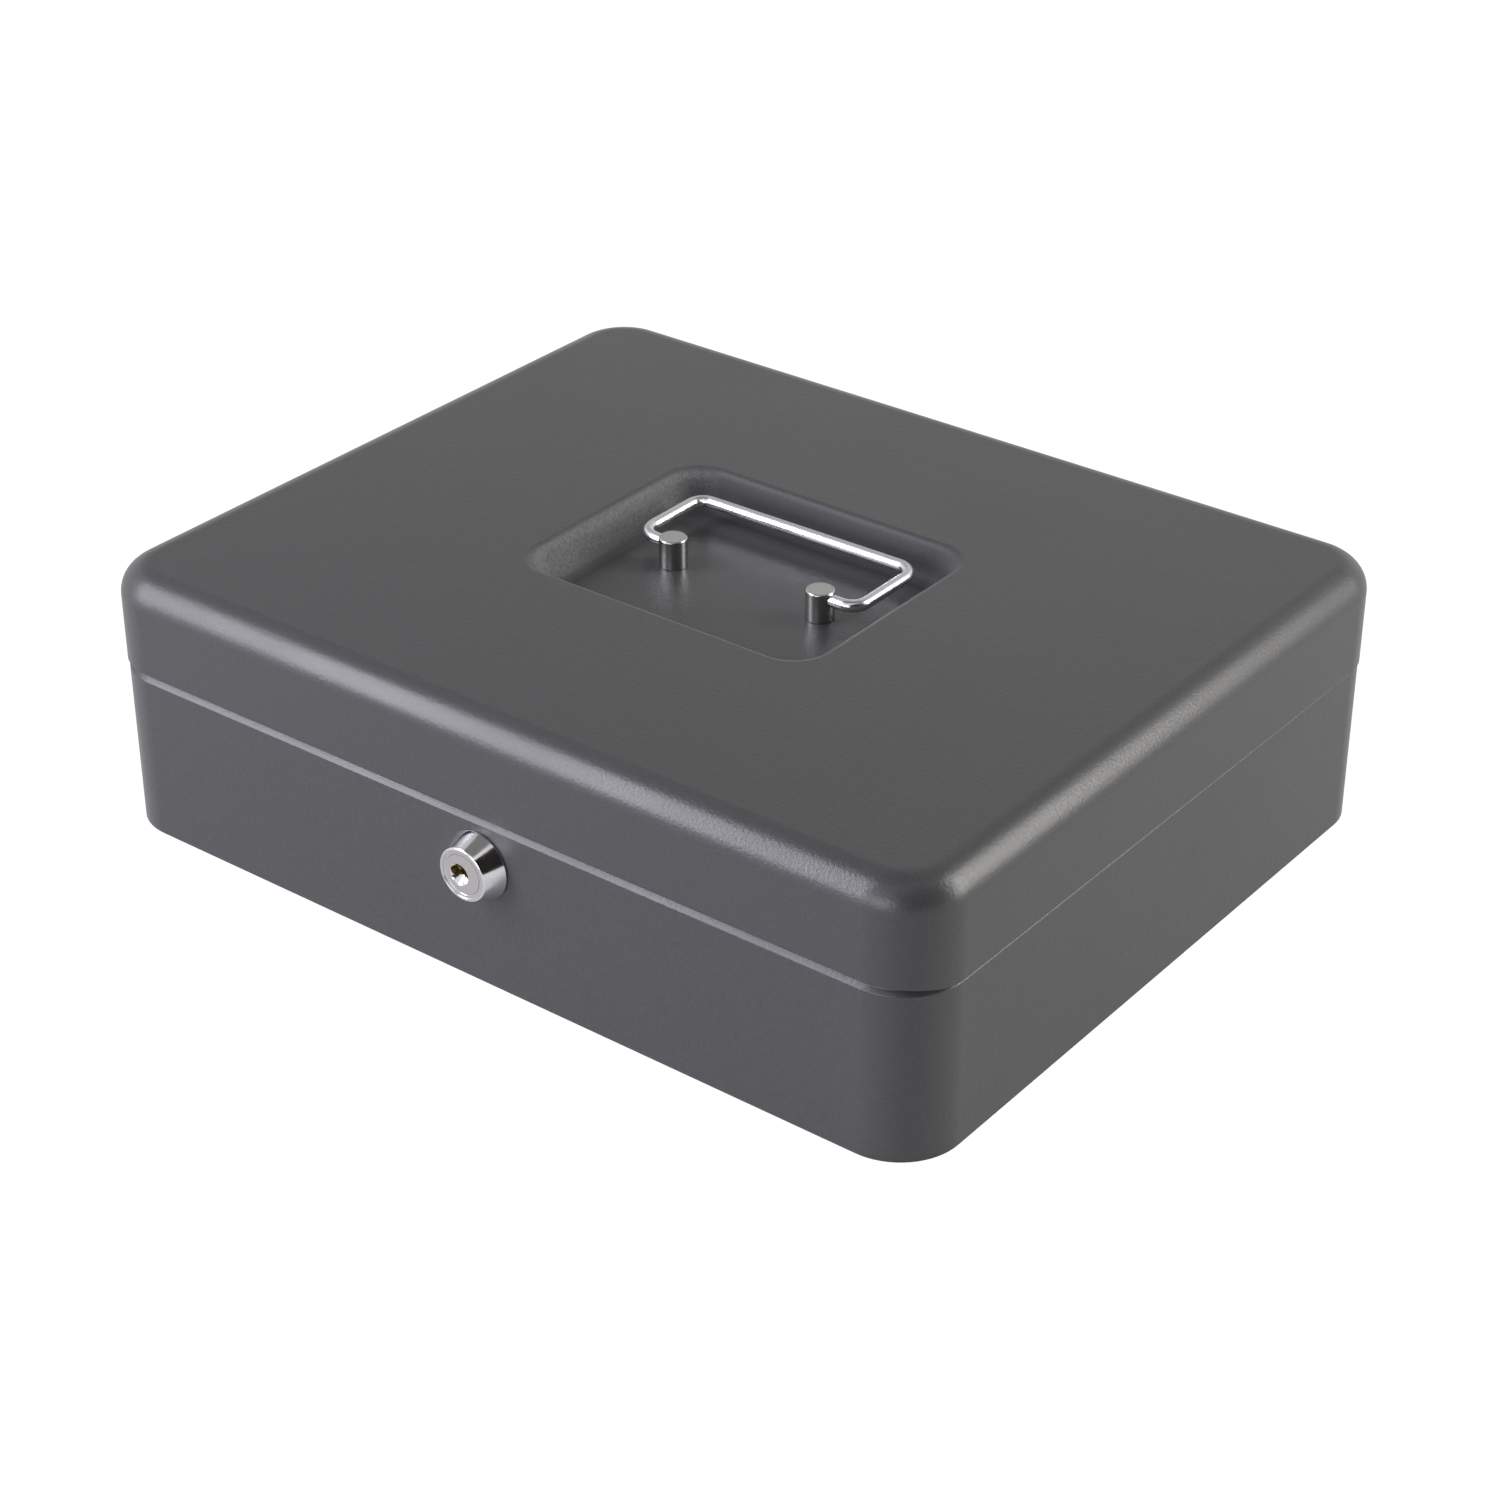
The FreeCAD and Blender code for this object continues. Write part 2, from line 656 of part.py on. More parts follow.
def post_fasteners():
    screws = []
    washers = []
    length = size.screw_grip + size.sheet_thickness + size.washer_thickness
    for side, x in (("left", -post_x), ("right", post_x)):
        made = screw(f"post_screw_{side}", length)
        place(made, x, size.post_back, recess_under - size.washer_thickness)
        screws.append(made)
        made = ring(f"post_washer_{side}", size.washer_diameter, screw_hole, size.washer_thickness)
        place(made, x, size.post_back, recess_under - size.washer_thickness)
        washers.append(made)
    keep(group("handle_post_screws", screws))
    keep(group("handle_post_washers", washers))


# Hinges
def hinge_leaf(label, x, wall, plate, knuckles):
    """Plate on a back wall with knuckles, each given by its start and its length along X."""
    body = new_body(label)
    outline = new_sketch(body, "XZ_Plane", -wall)
    polygon(outline, plate)
    pad(body, outline, size.leaf_thickness, back=True)
    for start, length in knuckles:
        barrel = new_sketch(body, "YZ_Plane", start)
        circle(barrel, (hinge_y, hinge_z), knuckle_radius * 2)
        pad(body, barrel, length)
    bore = new_sketch(body, "YZ_Plane")
    circle(bore, (hinge_y, hinge_z), size.pin_diameter + size.pin_clearance * 2)
    pocket(body, bore, both_ways=True)
    place(body, x)
    keep(body)


def hinge(side, x):
    edge = size.hinge_width / 2
    inner = size.lid_knuckle / 2
    outer = inner + size.knuckle_gap
    room = knuckle_radius + size.hinge_standoff + size.knuckle_gap
    low = hinge_z - size.leaf_height
    notch = hinge_z - room
    plate = (
        (-edge, low), (edge, low), (edge, hinge_z), (outer, hinge_z), (outer, notch),
        (-outer, notch), (-outer, hinge_z), (-edge, hinge_z))
    knuckles = ((-edge, edge - outer), (outer, edge - outer))
    hinge_leaf(f"hinge_case_leaf_{side}", x, half_depth, plate, knuckles)
    high = hinge_z + size.leaf_height
    notch = hinge_z + room
    plate = (
        (-edge, high), (-edge, notch), (-inner, notch), (-inner, hinge_z),
        (inner, hinge_z), (inner, notch), (edge, notch), (edge, high))
    knuckles = ((-inner, size.lid_knuckle),)
    hinge_leaf(f"hinge_lid_leaf_{side}", x, half_depth + size.lid_overhang, plate, knuckles)
    pin = new_body(f"hinge_pin_{side}")
    section = new_sketch(pin, "YZ_Plane")
    circle(section, (hinge_y, hinge_z), size.pin_diameter)
    pad(pin, section, size.hinge_width + size.pin_overhang * 2, both_ways=True)
    soften(pin, "Chamfer", lambda box: box.XLength < flat, size.pin_chamfer)
    place(pin, x)
    keep(pin)


# Lock
def lock_barrel():
    body = new_body("lock_barrel")
    cone_front = front - size.bezel_projection
    cone_tip = size.bezel_face_diameter / 2
    cone_foot = size.bezel_base_diameter / 2
    rim = cone_tip - size.bezel_rim_width
    head_bore = size.plug_head_diameter / 2 + size.plug_clearance
    core_bore = size.plug_core_diameter / 2 + size.plug_clearance
    thread = size.barrel_diameter / 2
    seat = plug_head_end + size.plug_end_gap
    half = new_sketch(body, "XY_Plane")
    polygon(half, (
        (head_bore, lock_face), (rim, lock_face), (rim, cone_front), (cone_tip, cone_front),
        (cone_foot, front), (thread, front), (thread, barrel_end), (core_bore, barrel_end),
        (core_bore, seat), (head_bore, seat)))
    revolve(body, half)
    flats = new_sketch(body, "XY_Plane")
    flat_side = size.barrel_flats / 2
    for low, high in ((-thread, -flat_side), (flat_side, thread)):
        rectangle(flats, (low, front), (high, barrel_end))
    pocket(body, flats, both_ways=True)
    groove = new_sketch(body, "XZ_Plane", -wafer_first)
    x = core_bore + size.groove_depth
    z = size.wafer_width / 2 + size.wafer_gap
    rectangle(groove, (-x, -z), (x, z))
    pocket(body, groove, size.wafer_pitch * size.wafer_count)
    place(body, 0, 0, lock_height)
    keep(body)


def lock_plug():
    body = new_body("lock_plug")
    head = size.plug_head_diameter / 2
    core = size.plug_core_diameter / 2
    half = new_sketch(body, "XY_Plane")
    polygon(half, (
        (0, lock_face), (head, lock_face), (head, plug_head_end),
        (core, plug_head_end), (core, plug_end), (0, plug_end)))
    revolve(body, half)
    square = new_sketch(body, "XZ_Plane", -plug_end)
    reach = size.cam_square / 2
    rectangle(square, (-reach, -reach), (reach, reach))
    pad(body, square, size.cam_thickness - size.cam_clamp, back=True)
    thread = new_sketch(body, "XZ_Plane", -cam_back)
    circle(thread, (0, 0), thread_bore)
    pocket(body, thread, size.cam_thickness + size.screw_grip + size.screw_tip_gap, back=True)
    mouth = new_sketch(body, "XZ_Plane", -lock_face)
    circle(mouth, (-size.keyway_left, -size.mouth_drop), size.mouth_diameter)
    pocket(body, mouth, size.mouth_depth, draft=size.mouth_draft)
    keyway = new_sketch(body, "XZ_Plane", -lock_face)
    low = -size.keyway_length / 2 - size.keyway_left
    high = size.keyway_length / 2 - size.keyway_left
    z = size.keyway_width / 2
    rounded_rectangle(keyway, (low, -z), (high, z), size.keyway_corner)
    pocket(body, keyway, size.keyway_depth)
    slot = new_sketch(body, "YZ_Plane")
    z = size.wafer_width / 2 + size.wafer_gap
    rectangle(slot, (wafer_first, -z), (wafer_first + wafer_slot, z))
    slot_cut = pocket(body, slot, both_ways=True)
    nest = new_sketch(body, "YZ_Plane", spring_start())
    rectangle(nest, (wafer_first, 0), (wafer_first + wafer_slot, z + size.wafer_wing))
    nest_cut = pocket(body, nest, back=True)
    span = size.wafer_pitch * (size.wafer_count - 1)
    repeat(body, [slot_cut, nest_cut], slot, "H_Axis", span, size.wafer_count)
    place(body, 0, 0, lock_height)
    keep(body)


def spring_start():
    """Place along X where the wafer springs start, from the lock axis."""
    return size.wafer_wing_end - size.wafer_wing_thickness - size.spring_length


def wafers_and_springs():
    wafers = []
    springs = []
    x = size.wafer_length / 2
    z = size.wafer_width / 2
    for number in range(int(size.wafer_count.number)):
        start = wafer_first + size.wafer_gap + size.wafer_pitch * number
        stop = start + size.wafer_thickness
        middle = start + size.wafer_thickness / 2
        plate = block((-x, start, lock_height - z), (x, stop, lock_height + z))
        wing_start = size.wafer_wing_end - size.wafer_wing_thickness
        wing_top = lock_height + z + size.wafer_wing
        wing = block((wing_start, start, lock_height), (size.wafer_wing_end, stop, wing_top))
        whole = document.addObject("Part::Fuse", "wafer_blank")
        whole.Base = plate
        whole.Tool = wing
        low = -size.wafer_window_length / 2 - size.keyway_left
        high = size.wafer_window_length / 2 - size.keyway_left
        rise = size.wafer_window_width / 2
        window = block((low, start, lock_height - rise), (high, stop, lock_height + rise))
        wafers.append(cut(f"wafer_{number}", whole, window))
        spring = ring(f"wafer_spring_{number}", size.spring_diameter, size.spring_bore, size.spring_length)
        spring_rise = z + size.wafer_gap + size.spring_diameter / 2
        place(spring, spring_start(), middle, lock_height + spring_rise, to_right)
        springs.append(spring)
    keep(group("lock_wafers", wafers))
    keep(group("wafer_springs", springs))


def lock_fixings():
    inside = front + size.sheet_thickness
    thread = size.barrel_diameter + size.barrel_hole_gap * 2
    washer = ring("lock_washer", size.lock_washer_diameter, thread, size.lock_washer_thickness)
    place(washer, 0, inside, lock_height, to_back)
    keep(washer)
    blank = document.addObject("Part::Prism", "nut_blank")
    blank.Polygon = 6
    bind(blank, "Circumradius", size.nut_across_flats / math.sqrt(3))
    bind(blank, "Height", size.nut_thickness)
    bore = cylinder(size.barrel_diameter + size.screw_clearance * 2, size.nut_thickness)
    nut = cut("lock_nut", blank, bore)
    place(nut, 0, inside + size.lock_washer_thickness, lock_height, to_back)
    keep(nut)


def lock_cam():
    body = new_body("lock_cam")
    outline = new_sketch(body, "XZ_Plane", -plug_end)
    x = size.cam_width / 2
    rounded_rectangle(outline, (-x, -size.cam_tail), (x, size.cam_length), size.cam_corner)
    pad(body, outline, size.cam_thickness, back=True)
    square = new_sketch(body, "XZ_Plane", -plug_end)
    reach = size.cam_square / 2 + size.cam_square_gap
    rectangle(square, (-reach, -reach), (reach, reach))
    pocket(body, square, size.cam_thickness)
    place(body, 0, 0, lock_height)
    keep(body)


def cam_fixings():
    washer = ring("cam_washer", size.washer_diameter, screw_hole, size.washer_thickness)
    place(washer, 0, cam_back, lock_height, to_back)
    keep(washer)
    made = screw("cam_screw", size.screw_grip + size.cam_thickness + size.washer_thickness)
    place(made, 0, cam_washer_back, lock_height, to_front)
    keep(made)


# Coin tray
def tray_row(body, near, far, top, count, floor_radius):
    """Sink one row of equal compartments, with rounded floors, between two places along Y."""
    wall = size.tray_wall
    pitch = (tray_end * 2 - wall) / count
    low = (wall - tray_end, near)
    high = (low[0] + pitch - wall, far)
    outline = new_sketch(body, "XY_Plane", top)
    rounded_rectangle(outline, low, high, size.tray_corner - wall)
    sunk = pocket(body, outline, size.tray_height - wall)
    repeat(body, [sunk], outline, "H_Axis", pitch * (count - 1), count)
    on_floor = level_edge(top - size.tray_height + wall)

    def floor_edge(box):
        return on_floor(box) and box.YMin > near.number - flat and box.YMax < far.number + flat

    soften(body, "Fillet", floor_edge, floor_radius)


def coin_tray():
    body = new_body("coin_tray")
    back = half_depth - neck_inside - size.tray_gap
    near = cam_screw_back + size.tray_lock_gap
    wall = size.tray_wall
    top = tray_bottom + size.tray_height
    outline = new_sketch(body, "XY_Plane", tray_bottom)
    rounded_rectangle(outline, (-tray_end, near), (tray_end, back), size.tray_corner)
    pad(body, outline, size.tray_height)
    soften(body, "Fillet", level_edge(tray_bottom), size.tray_foot_radius)
    split = near + wall + size.cup_row_depth
    tray_row(body, near + wall, split, top, size.cup_count, size.cup_floor_radius)
    tray_row(body, split + wall, back - wall, top, size.bin_count, size.bin_floor_radius)
    notch = new_sketch(body, "YZ_Plane", tray_end)
    middle = (split + back) / 2
    reach = size.grip_width / 2
    low = (middle - reach, top - size.grip_depth)
    rounded_rectangle(notch, low, (middle + reach, top + size.grip_depth), size.grip_corner)
    notch_cut = pocket(body, notch, wall)
    middle_plane = (origin_part(body, "YZ_Plane"), [""])
    mirror = feature(body, "Mirrored", Originals=[notch_cut], MirrorPlane=middle_plane)
    body.Tip = mirror
    document.recompute()
    keep(body)


body_wall()
bottom_plate()
tray_ledge("left", half_turn)
tray_ledge("right", None)
lid_shell()
lid_catch()
handle_post("left", -post_x, half_turn)
handle_post("right", post_x, None)
carry_handle()
post_fasteners()
hinge("left", size.hinge_inset - half_length)
hinge("right", half_length - size.hinge_inset)
lock_barrel()
lock_plug()
wafers_and_springs()
lock_fixings()
lock_cam()
cam_fixings()
coin_tray()
document.recompute()

# Nothing is written unless the whole model is sound
for item in document.Objects:
    if "Invalid" in item.State or "Error" in item.State:
        raise RuntimeError(f"{item.Label} failed: {item.State}")
for piece in pieces:
    if piece.Shape.isNull() or not piece.Shape.isValid():
        raise RuntimeError(f"{piece.Label} has no sound shape")

os.makedirs("parts", exist_ok=True)
for piece in pieces:
    piece.Shape.exportStep(f"parts/{piece.Label}.step")
    print(f"{piece.Label}: {len(piece.Shape.Solids)} solid(s), {piece.Shape.Volume:.2f} mm3")
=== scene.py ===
import json
import math
import bmesh
import bpy
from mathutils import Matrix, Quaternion, Vector

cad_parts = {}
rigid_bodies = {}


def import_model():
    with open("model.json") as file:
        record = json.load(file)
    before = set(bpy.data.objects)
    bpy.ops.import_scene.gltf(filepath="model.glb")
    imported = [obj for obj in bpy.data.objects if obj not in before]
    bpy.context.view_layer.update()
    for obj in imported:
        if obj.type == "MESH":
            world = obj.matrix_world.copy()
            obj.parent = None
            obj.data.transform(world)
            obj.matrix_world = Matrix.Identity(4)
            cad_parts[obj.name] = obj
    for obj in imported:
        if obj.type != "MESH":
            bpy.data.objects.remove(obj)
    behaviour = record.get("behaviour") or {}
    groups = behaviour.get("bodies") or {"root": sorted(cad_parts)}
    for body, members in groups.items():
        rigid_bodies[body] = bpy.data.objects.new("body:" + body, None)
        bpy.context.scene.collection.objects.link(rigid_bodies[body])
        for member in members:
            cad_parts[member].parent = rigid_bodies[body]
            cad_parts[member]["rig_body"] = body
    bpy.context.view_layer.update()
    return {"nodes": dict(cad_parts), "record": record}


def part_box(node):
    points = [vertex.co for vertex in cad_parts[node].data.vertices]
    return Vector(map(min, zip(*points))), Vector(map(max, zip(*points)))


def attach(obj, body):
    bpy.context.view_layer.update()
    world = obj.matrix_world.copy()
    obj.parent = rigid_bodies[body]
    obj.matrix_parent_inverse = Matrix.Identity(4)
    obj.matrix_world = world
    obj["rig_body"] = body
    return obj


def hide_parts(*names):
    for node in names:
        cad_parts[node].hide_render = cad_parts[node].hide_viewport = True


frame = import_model()
mm = 0.001
tiny = 0.00001
slotOf = {part["node"]: part["material_slot"] for part in frame["record"]["subparts"]}
print("frame loaded:", len(frame["nodes"]), "nodes")


# Small tools for selecting and finishing
def startFresh():
    if bpy.context.object and bpy.context.object.mode != "OBJECT":
        bpy.ops.object.mode_set(mode="OBJECT")
    bpy.ops.object.select_all(action="DESELECT")


def nameIt(name):
    piece = bpy.context.object
    piece.name = name
    piece.data.name = name
    return piece


def activate(piece):
    startFresh()
    piece.select_set(True)
    bpy.context.view_layer.objects.active = piece


def editAll(piece):
    activate(piece)
    bpy.ops.object.mode_set(mode="EDIT")
    bpy.ops.mesh.select_mode(type="VERT")
    bpy.ops.mesh.select_all(action="SELECT")


def pick(kind, test):
    # selects what passes the test, which gets the middle of the element and the element itself
    bpy.ops.mesh.select_mode(type=kind)
    bpy.ops.mesh.select_all(action="DESELECT")
    mesh = bmesh.from_edit_mesh(bpy.context.object.data)
    mesh.normal_update()
    if kind == "VERT":
        found = [v for v in mesh.verts if test(v.co, v)]
    elif kind == "EDGE":
        found = [e for e in mesh.edges if test((e.verts[0].co + e.verts[1].co) / 2, e)]
    else:
        found = [f for f in mesh.faces if test(f.calc_center_median(), f)]
    for element in found:
        element.select_set(True)
    mesh.select_flush_mode()
    bmesh.update_edit_mesh(bpy.context.object.data)


def push(x, y, z):
    bpy.ops.mesh.extrude_region_move(TRANSFORM_OT_translate={"value": (x, y, z)})


def applyModifier(piece, kind, **settings):
    activate(piece)
    made = piece.modifiers.new(kind.lower(), kind)
    for name, value in settings.items():
        setattr(made, name, value)
    bpy.ops.object.modifier_apply(modifier=made.name)


def smooth(piece, degrees=35):
    activate(piece)
    bpy.ops.object.shade_smooth_by_angle(angle=math.radians(degrees))
    applyModifier(piece, "WEIGHTED_NORMAL", keep_sharp=True, weight=100)


def settle(piece, material, *nodes):
    # the piece takes the place of its solids: their body, their slot and a finish
    piece.data.materials.clear()
    for finish in material if isinstance(material, list) else [material]:
        piece.data.materials.append(finish)
    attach(piece, frame["nodes"][nodes[0]]["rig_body"])
    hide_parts(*nodes)


def roundedPlate(name, low, high, corner, steps):
    # flat plate at the height of low, with round corners, left in edit mode and selected
    startFresh()
    bpy.ops.mesh.primitive_plane_add(size=1)
    piece = nameIt(name)
    piece.scale = (high.x - low.x, high.y - low.y, 1)
    piece.location = ((low.x + high.x) / 2, (low.y + high.y) / 2, low.z)
    bpy.ops.object.transform_apply(location=True, rotation=True, scale=True)
    editAll(piece)
    bpy.ops.mesh.bevel(offset=corner, segments=steps, affect="VERTICES")
    bpy.ops.mesh.select_all(action="SELECT")
    return piece


def drawOutline(name, points):
    # a closed chain of edges through the points, in edit mode
    startFresh()
    bpy.ops.mesh.primitive_plane_add(size=tiny, location=points[0])
    piece = nameIt(name)
    bpy.ops.object.transform_apply(location=True, rotation=True, scale=True)
    editAll(piece)
    bpy.ops.mesh.merge(type="CENTER")
    for before, after in zip(points, points[1:] + points[:1]):
        push(*(after - before))
    bpy.ops.mesh.select_all(action="SELECT")
    bpy.ops.mesh.remove_doubles(threshold=tiny / 4)
    return piece


def roundCorner(point, reach, steps=4):
    pick("VERT", lambda where, v: (where - point).length < tiny)
    bpy.ops.mesh.bevel(offset=reach, segments=steps, affect="VERTICES")


def cutAway(piece, cutter):
    applyModifier(piece, "BOOLEAN", object=cutter, operation="DIFFERENCE", solver="EXACT")
    bpy.data.objects.remove(cutter)


def rod(name, radius, start, stop, sides=48):
    # plain round cutter from one point to another
    startFresh()
    way = Vector(stop) - Vector(start)
    bpy.ops.mesh.primitive_cylinder_add(vertices=sides, radius=radius, depth=way.length)
    piece = nameIt(name)
    piece.rotation_euler = way.to_track_quat("Z", "Y").to_euler()
    piece.location = (Vector(start) + Vector(stop)) / 2
    bpy.ops.object.transform_apply(location=True, rotation=True, scale=True)
    return piece


# Finishes
def toLinear(hexColour):
    parts = [int(hexColour[i:i + 2], 16) / 255 for i in (1, 3, 5)]
    return [p / 12.92 if p <= 0.04045 else ((p + 0.055) / 1.055) ** 2.4 for p in parts] + [1.0]


def addNode(tree, kind, settings=None, links=None):
    node = tree.nodes.new(kind)
    for name, value in (settings or {}).items():
        if isinstance(name, int) or name in node.inputs:
            node.inputs[name].default_value = value
        else:
            setattr(node, name, value)
    for name, socket in (links or {}).items():
        tree.links.new(socket, node.inputs[name])
    return node


def newFinish(name):
    material = bpy.data.materials.new(name)
    material.use_nodes = True
    tree = material.node_tree
    shader = tree.nodes["Principled BSDF"]
    place = addNode(tree, "ShaderNodeTexCoord").outputs["Object"]
    return material, tree, shader, place


def greyPowderCoat():
    # powder coat baked on pressed steel: a dull sheen, fine grain, and a faint ripple where it flowed
    size = {"grain": 0.9, "ripple": 5.0, "cloud": 55.0}  # mm; the real grain of 0.2 is drawn coarser
    material, tree, shader, place = newFinish("grey_powder_coat_fine_texture")
    grain = addNode(tree, "ShaderNodeTexNoise", {"Scale": 1 / (size["grain"] * mm), "Detail": 3.0},
                    {"Vector": place})
    ripple = addNode(tree, "ShaderNodeTexNoise", {"Scale": 1 / (size["ripple"] * mm), "Detail": 1.0},
                     {"Vector": place})
    cloud = addNode(tree, "ShaderNodeTexNoise", {"Scale": 1 / (size["cloud"] * mm), "Detail": 2.0},
                    {"Vector": place})
    speck = addNode(tree, "ShaderNodeMapRange", {"From Min": 0.35, "From Max": 0.65},
                    {"Value": grain.outputs["Fac"]})
    flowed = addNode(tree, "ShaderNodeMix",
                     {"data_type": "RGBA", 6: toLinear("#3d3d3f"), 7: toLinear("#424243")},
                     {0: speck.outputs["Result"]})
    # painted light: a paler coat colour for the left recess wall, standing in for the lamp light that falls
    # on it; the speck mix inside it is grain
    paintedLitWall = addNode(tree, "ShaderNodeMix",
                     {"data_type": "RGBA", 6: toLinear("#656567"), 7: toLinear("#7a7a7c")},
                     {0: speck.outputs["Result"]})
    dry = addNode(tree, "ShaderNodeAttribute", {"attribute_name": "dryPowder"})  # 1 on the recess walls
    # mask of the painted light on the left recess wall
    grit = addNode(tree, "ShaderNodeAttribute", {"attribute_name": "paintedLightLeftWall"})  # 1 on the left one only
    colour = addNode(tree, "ShaderNodeMix", {"data_type": "RGBA"},
                     {0: grit.outputs["Fac"], 6: flowed.outputs[2], 7: paintedLitWall.outputs[2]})
    gloss = addNode(tree, "ShaderNodeMapRange",
                    {"From Min": 0.3, "From Max": 0.7, "To Min": 0.32, "To Max": 0.39},
                    {"Value": cloud.outputs["Fac"]})
    dull = addNode(tree, "ShaderNodeMath", {"operation": "MULTIPLY_ADD", 1: 0.5},
                   {0: dry.outputs["Fac"], 2: gloss.outputs["Result"]})
    rough = addNode(tree, "ShaderNodeMath", {"operation": "MULTIPLY_ADD", 1: 0.2, 2: 0.8},
                    {0: dry.outputs["Fac"]})
    wavy = addNode(tree, "ShaderNodeBump", {"Strength": 0.2, "Distance": 0.06 * mm},
                   {"Height": ripple.outputs["Fac"]})
    bump = addNode(tree, "ShaderNodeBump", {"Distance": 0.1 * mm},
                   {"Height": grain.outputs["Fac"], "Normal": wavy.outputs["Normal"],
                    "Strength": rough.outputs[0]})
    tree.links.new(colour.outputs[2], shader.inputs["Base Color"])
    tree.links.new(dull.outputs[0], shader.inputs["Roughness"])
    tree.links.new(bump.outputs["Normal"], shader.inputs["Normal"])
    return material


def polishedMetal(name, colour, roughness, smear, haze):
    # plated and polished: a clear mirror, dulled a little where it was handled
    material, tree, shader, place = newFinish(name)
    patch = addNode(tree, "ShaderNodeTexNoise", {"Scale": 1 / (smear * mm), "Detail": 4.0},
                    {"Vector": place})
    gloss = addNode(tree, "ShaderNodeMapRange",
                    {"From Min": 0.35, "From Max": 0.7, "To Min": roughness, "To Max": roughness + haze},
                    {"Value": patch.outputs["Fac"]})
    shader.inputs["Base Color"].default_value = toLinear(colour)
    shader.inputs["Metallic"].default_value = 1.0
    tree.links.new(gloss.outputs["Result"], shader.inputs["Roughness"])
    return material


def turnedMetal(name, colour, roughness, spacing, centre, axis, kind):
    # cut on a lathe and plated: fine tool marks that run round the part
    material, tree, shader, place = newFinish(name)
    centred = addNode(tree, "ShaderNodeMapping", {"Location": [-value for value in centre]},
                      {"Vector": place})
    turn = "rings_direction" if kind == "RINGS" else "bands_direction"
    marks = addNode(tree, "ShaderNodeTexWave",
                    {"wave_type": kind, turn: axis, "Scale": 2 * math.pi / (20 * spacing * mm),
                     "Distortion": 1.5, "Detail": 2.0, "Detail Scale": 1.0},
                    {"Vector": centred.outputs["Vector"]})
    gloss = addNode(tree, "ShaderNodeMapRange", {"To Min": roughness - 0.06, "To Max": roughness + 0.06},
                    {"Value": marks.outputs["Fac"]})
    bump = addNode(tree, "ShaderNodeBump", {"Strength": 0.12, "Distance": 0.02 * mm},
                   {"Height": marks.outputs["Fac"]})
    shader.inputs["Base Color"].default_value = toLinear(colour)
    shader.inputs["Metallic"].default_value = 1.0
    tree.links.new(gloss.outputs["Result"], shader.inputs["Roughness"])
    tree.links.new(bump.outputs["Normal"], shader.inputs["Normal"])
    return material


def platedSteel(name, dark, light, roughness, spangle):
    # barrel plated small parts: slightly cloudy metal with a fine tumble texture
    material, tree, shader, place = newFinish(name)
    patch = addNode(tree, "ShaderNodeTexNoise", {"Scale": 1 / (spangle * mm), "Detail": 5.0},
                    {"Vector": place})
    colour = addNode(tree, "ShaderNodeMix", {"data_type": "RGBA", 6: toLinear(dark), 7: toLinear(light)},
                     {0: patch.outputs["Fac"]})
    gloss = addNode(tree, "ShaderNodeMapRange", {"To Min": roughness - 0.08, "To Max": roughness + 0.1},
                    {"Value": patch.outputs["Fac"]})
    bump = addNode(tree, "ShaderNodeBump", {"Strength": 0.1, "Distance": 0.03 * mm},
                   {"Height": patch.outputs["Fac"]})
    shader.inputs["Metallic"].default_value = 1.0
    tree.links.new(colour.outputs[2], shader.inputs["Base Color"])
    tree.links.new(gloss.outputs["Result"], shader.inputs["Roughness"])
    tree.links.new(bump.outputs["Normal"], shader.inputs["Normal"])
    return material


def mouldedPlastic():
    # injection moulded polystyrene from a spark-eroded mould: even, fine-grained and half dull
    grit = 0.6  # mm; the real texture of 0.1 is drawn coarser to show
    material, tree, shader, place = newFinish("black_moulded_polystyrene")
    grain = addNode(tree, "ShaderNodeTexNoise", {"Scale": 1 / (grit * mm), "Detail": 2.0},
                    {"Vector": place})
    colour = addNode(tree, "ShaderNodeMix",
                     {"data_type": "RGBA", 6: toLinear("#1b1b1d"), 7: toLinear("#252527")},
                     {0: grain.outputs["Fac"]})
    bump = addNode(tree, "ShaderNodeBump", {"Strength": 0.25, "Distance": 0.05 * mm},
                   {"Height": grain.outputs["Fac"]})
    shader.inputs["Roughness"].default_value = 0.45
    tree.links.new(colour.outputs[2], shader.inputs["Base Color"])
    tree.links.new(bump.outputs["Normal"], shader.inputs["Normal"])
    return material


plugLow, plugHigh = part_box("lock_plug")
lockCentre = Vector(((plugLow.x + plugHigh.x) / 2, plugLow.y, (plugLow.z + plugHigh.z) / 2))
powderCoat = greyPowderCoat()
wireChrome = polishedMetal("bright_chrome_wire", "#d4d5d8", 0.19, 6.0, 0.1)
lockChrome = polishedMetal("polished_chrome_on_zinc", "#d8d8dc", 0.12, 5.0, 0.06)
satinFace = turnedMetal("satin_nickel_lock_face", "#b9b6b6", 0.36, 0.4, lockCentre, "Y", "RINGS")
nickelSide = turnedMetal("turned_nickel_side", "#b1b0ae", 0.24, 0.35, (0, 0, 0), "Z", "BANDS")
brass = platedSteel("stamped_brass", "#b4a679", "#d3c89c", 0.3, 2.0)
springWire = platedSteel("drawn_spring_steel", "#77777a", "#929295", 0.35, 1.0)
zinc = platedSteel("bright_zinc_plate", "#a5a7ab", "#c3c5c8", 0.32, 4.0)
blackPlastic = mouldedPlastic()
finishOf = {
    "grey_powder_coat": powderCoat, "nickel_plate": nickelSide, "bright_chrome": wireChrome,
    "lock_chrome": lockChrome, "lock_face": satinFace, "wafer_brass": brass, "spring_steel": springWire,
    "zinc_plate": zinc, "tray_plastic": blackPlastic}
for node, thing in frame["nodes"].items():
    thing.data.materials.clear()
    thing.data.materials.append(finishOf[slotOf[node]])
print("finishes ready:", len(finishOf))


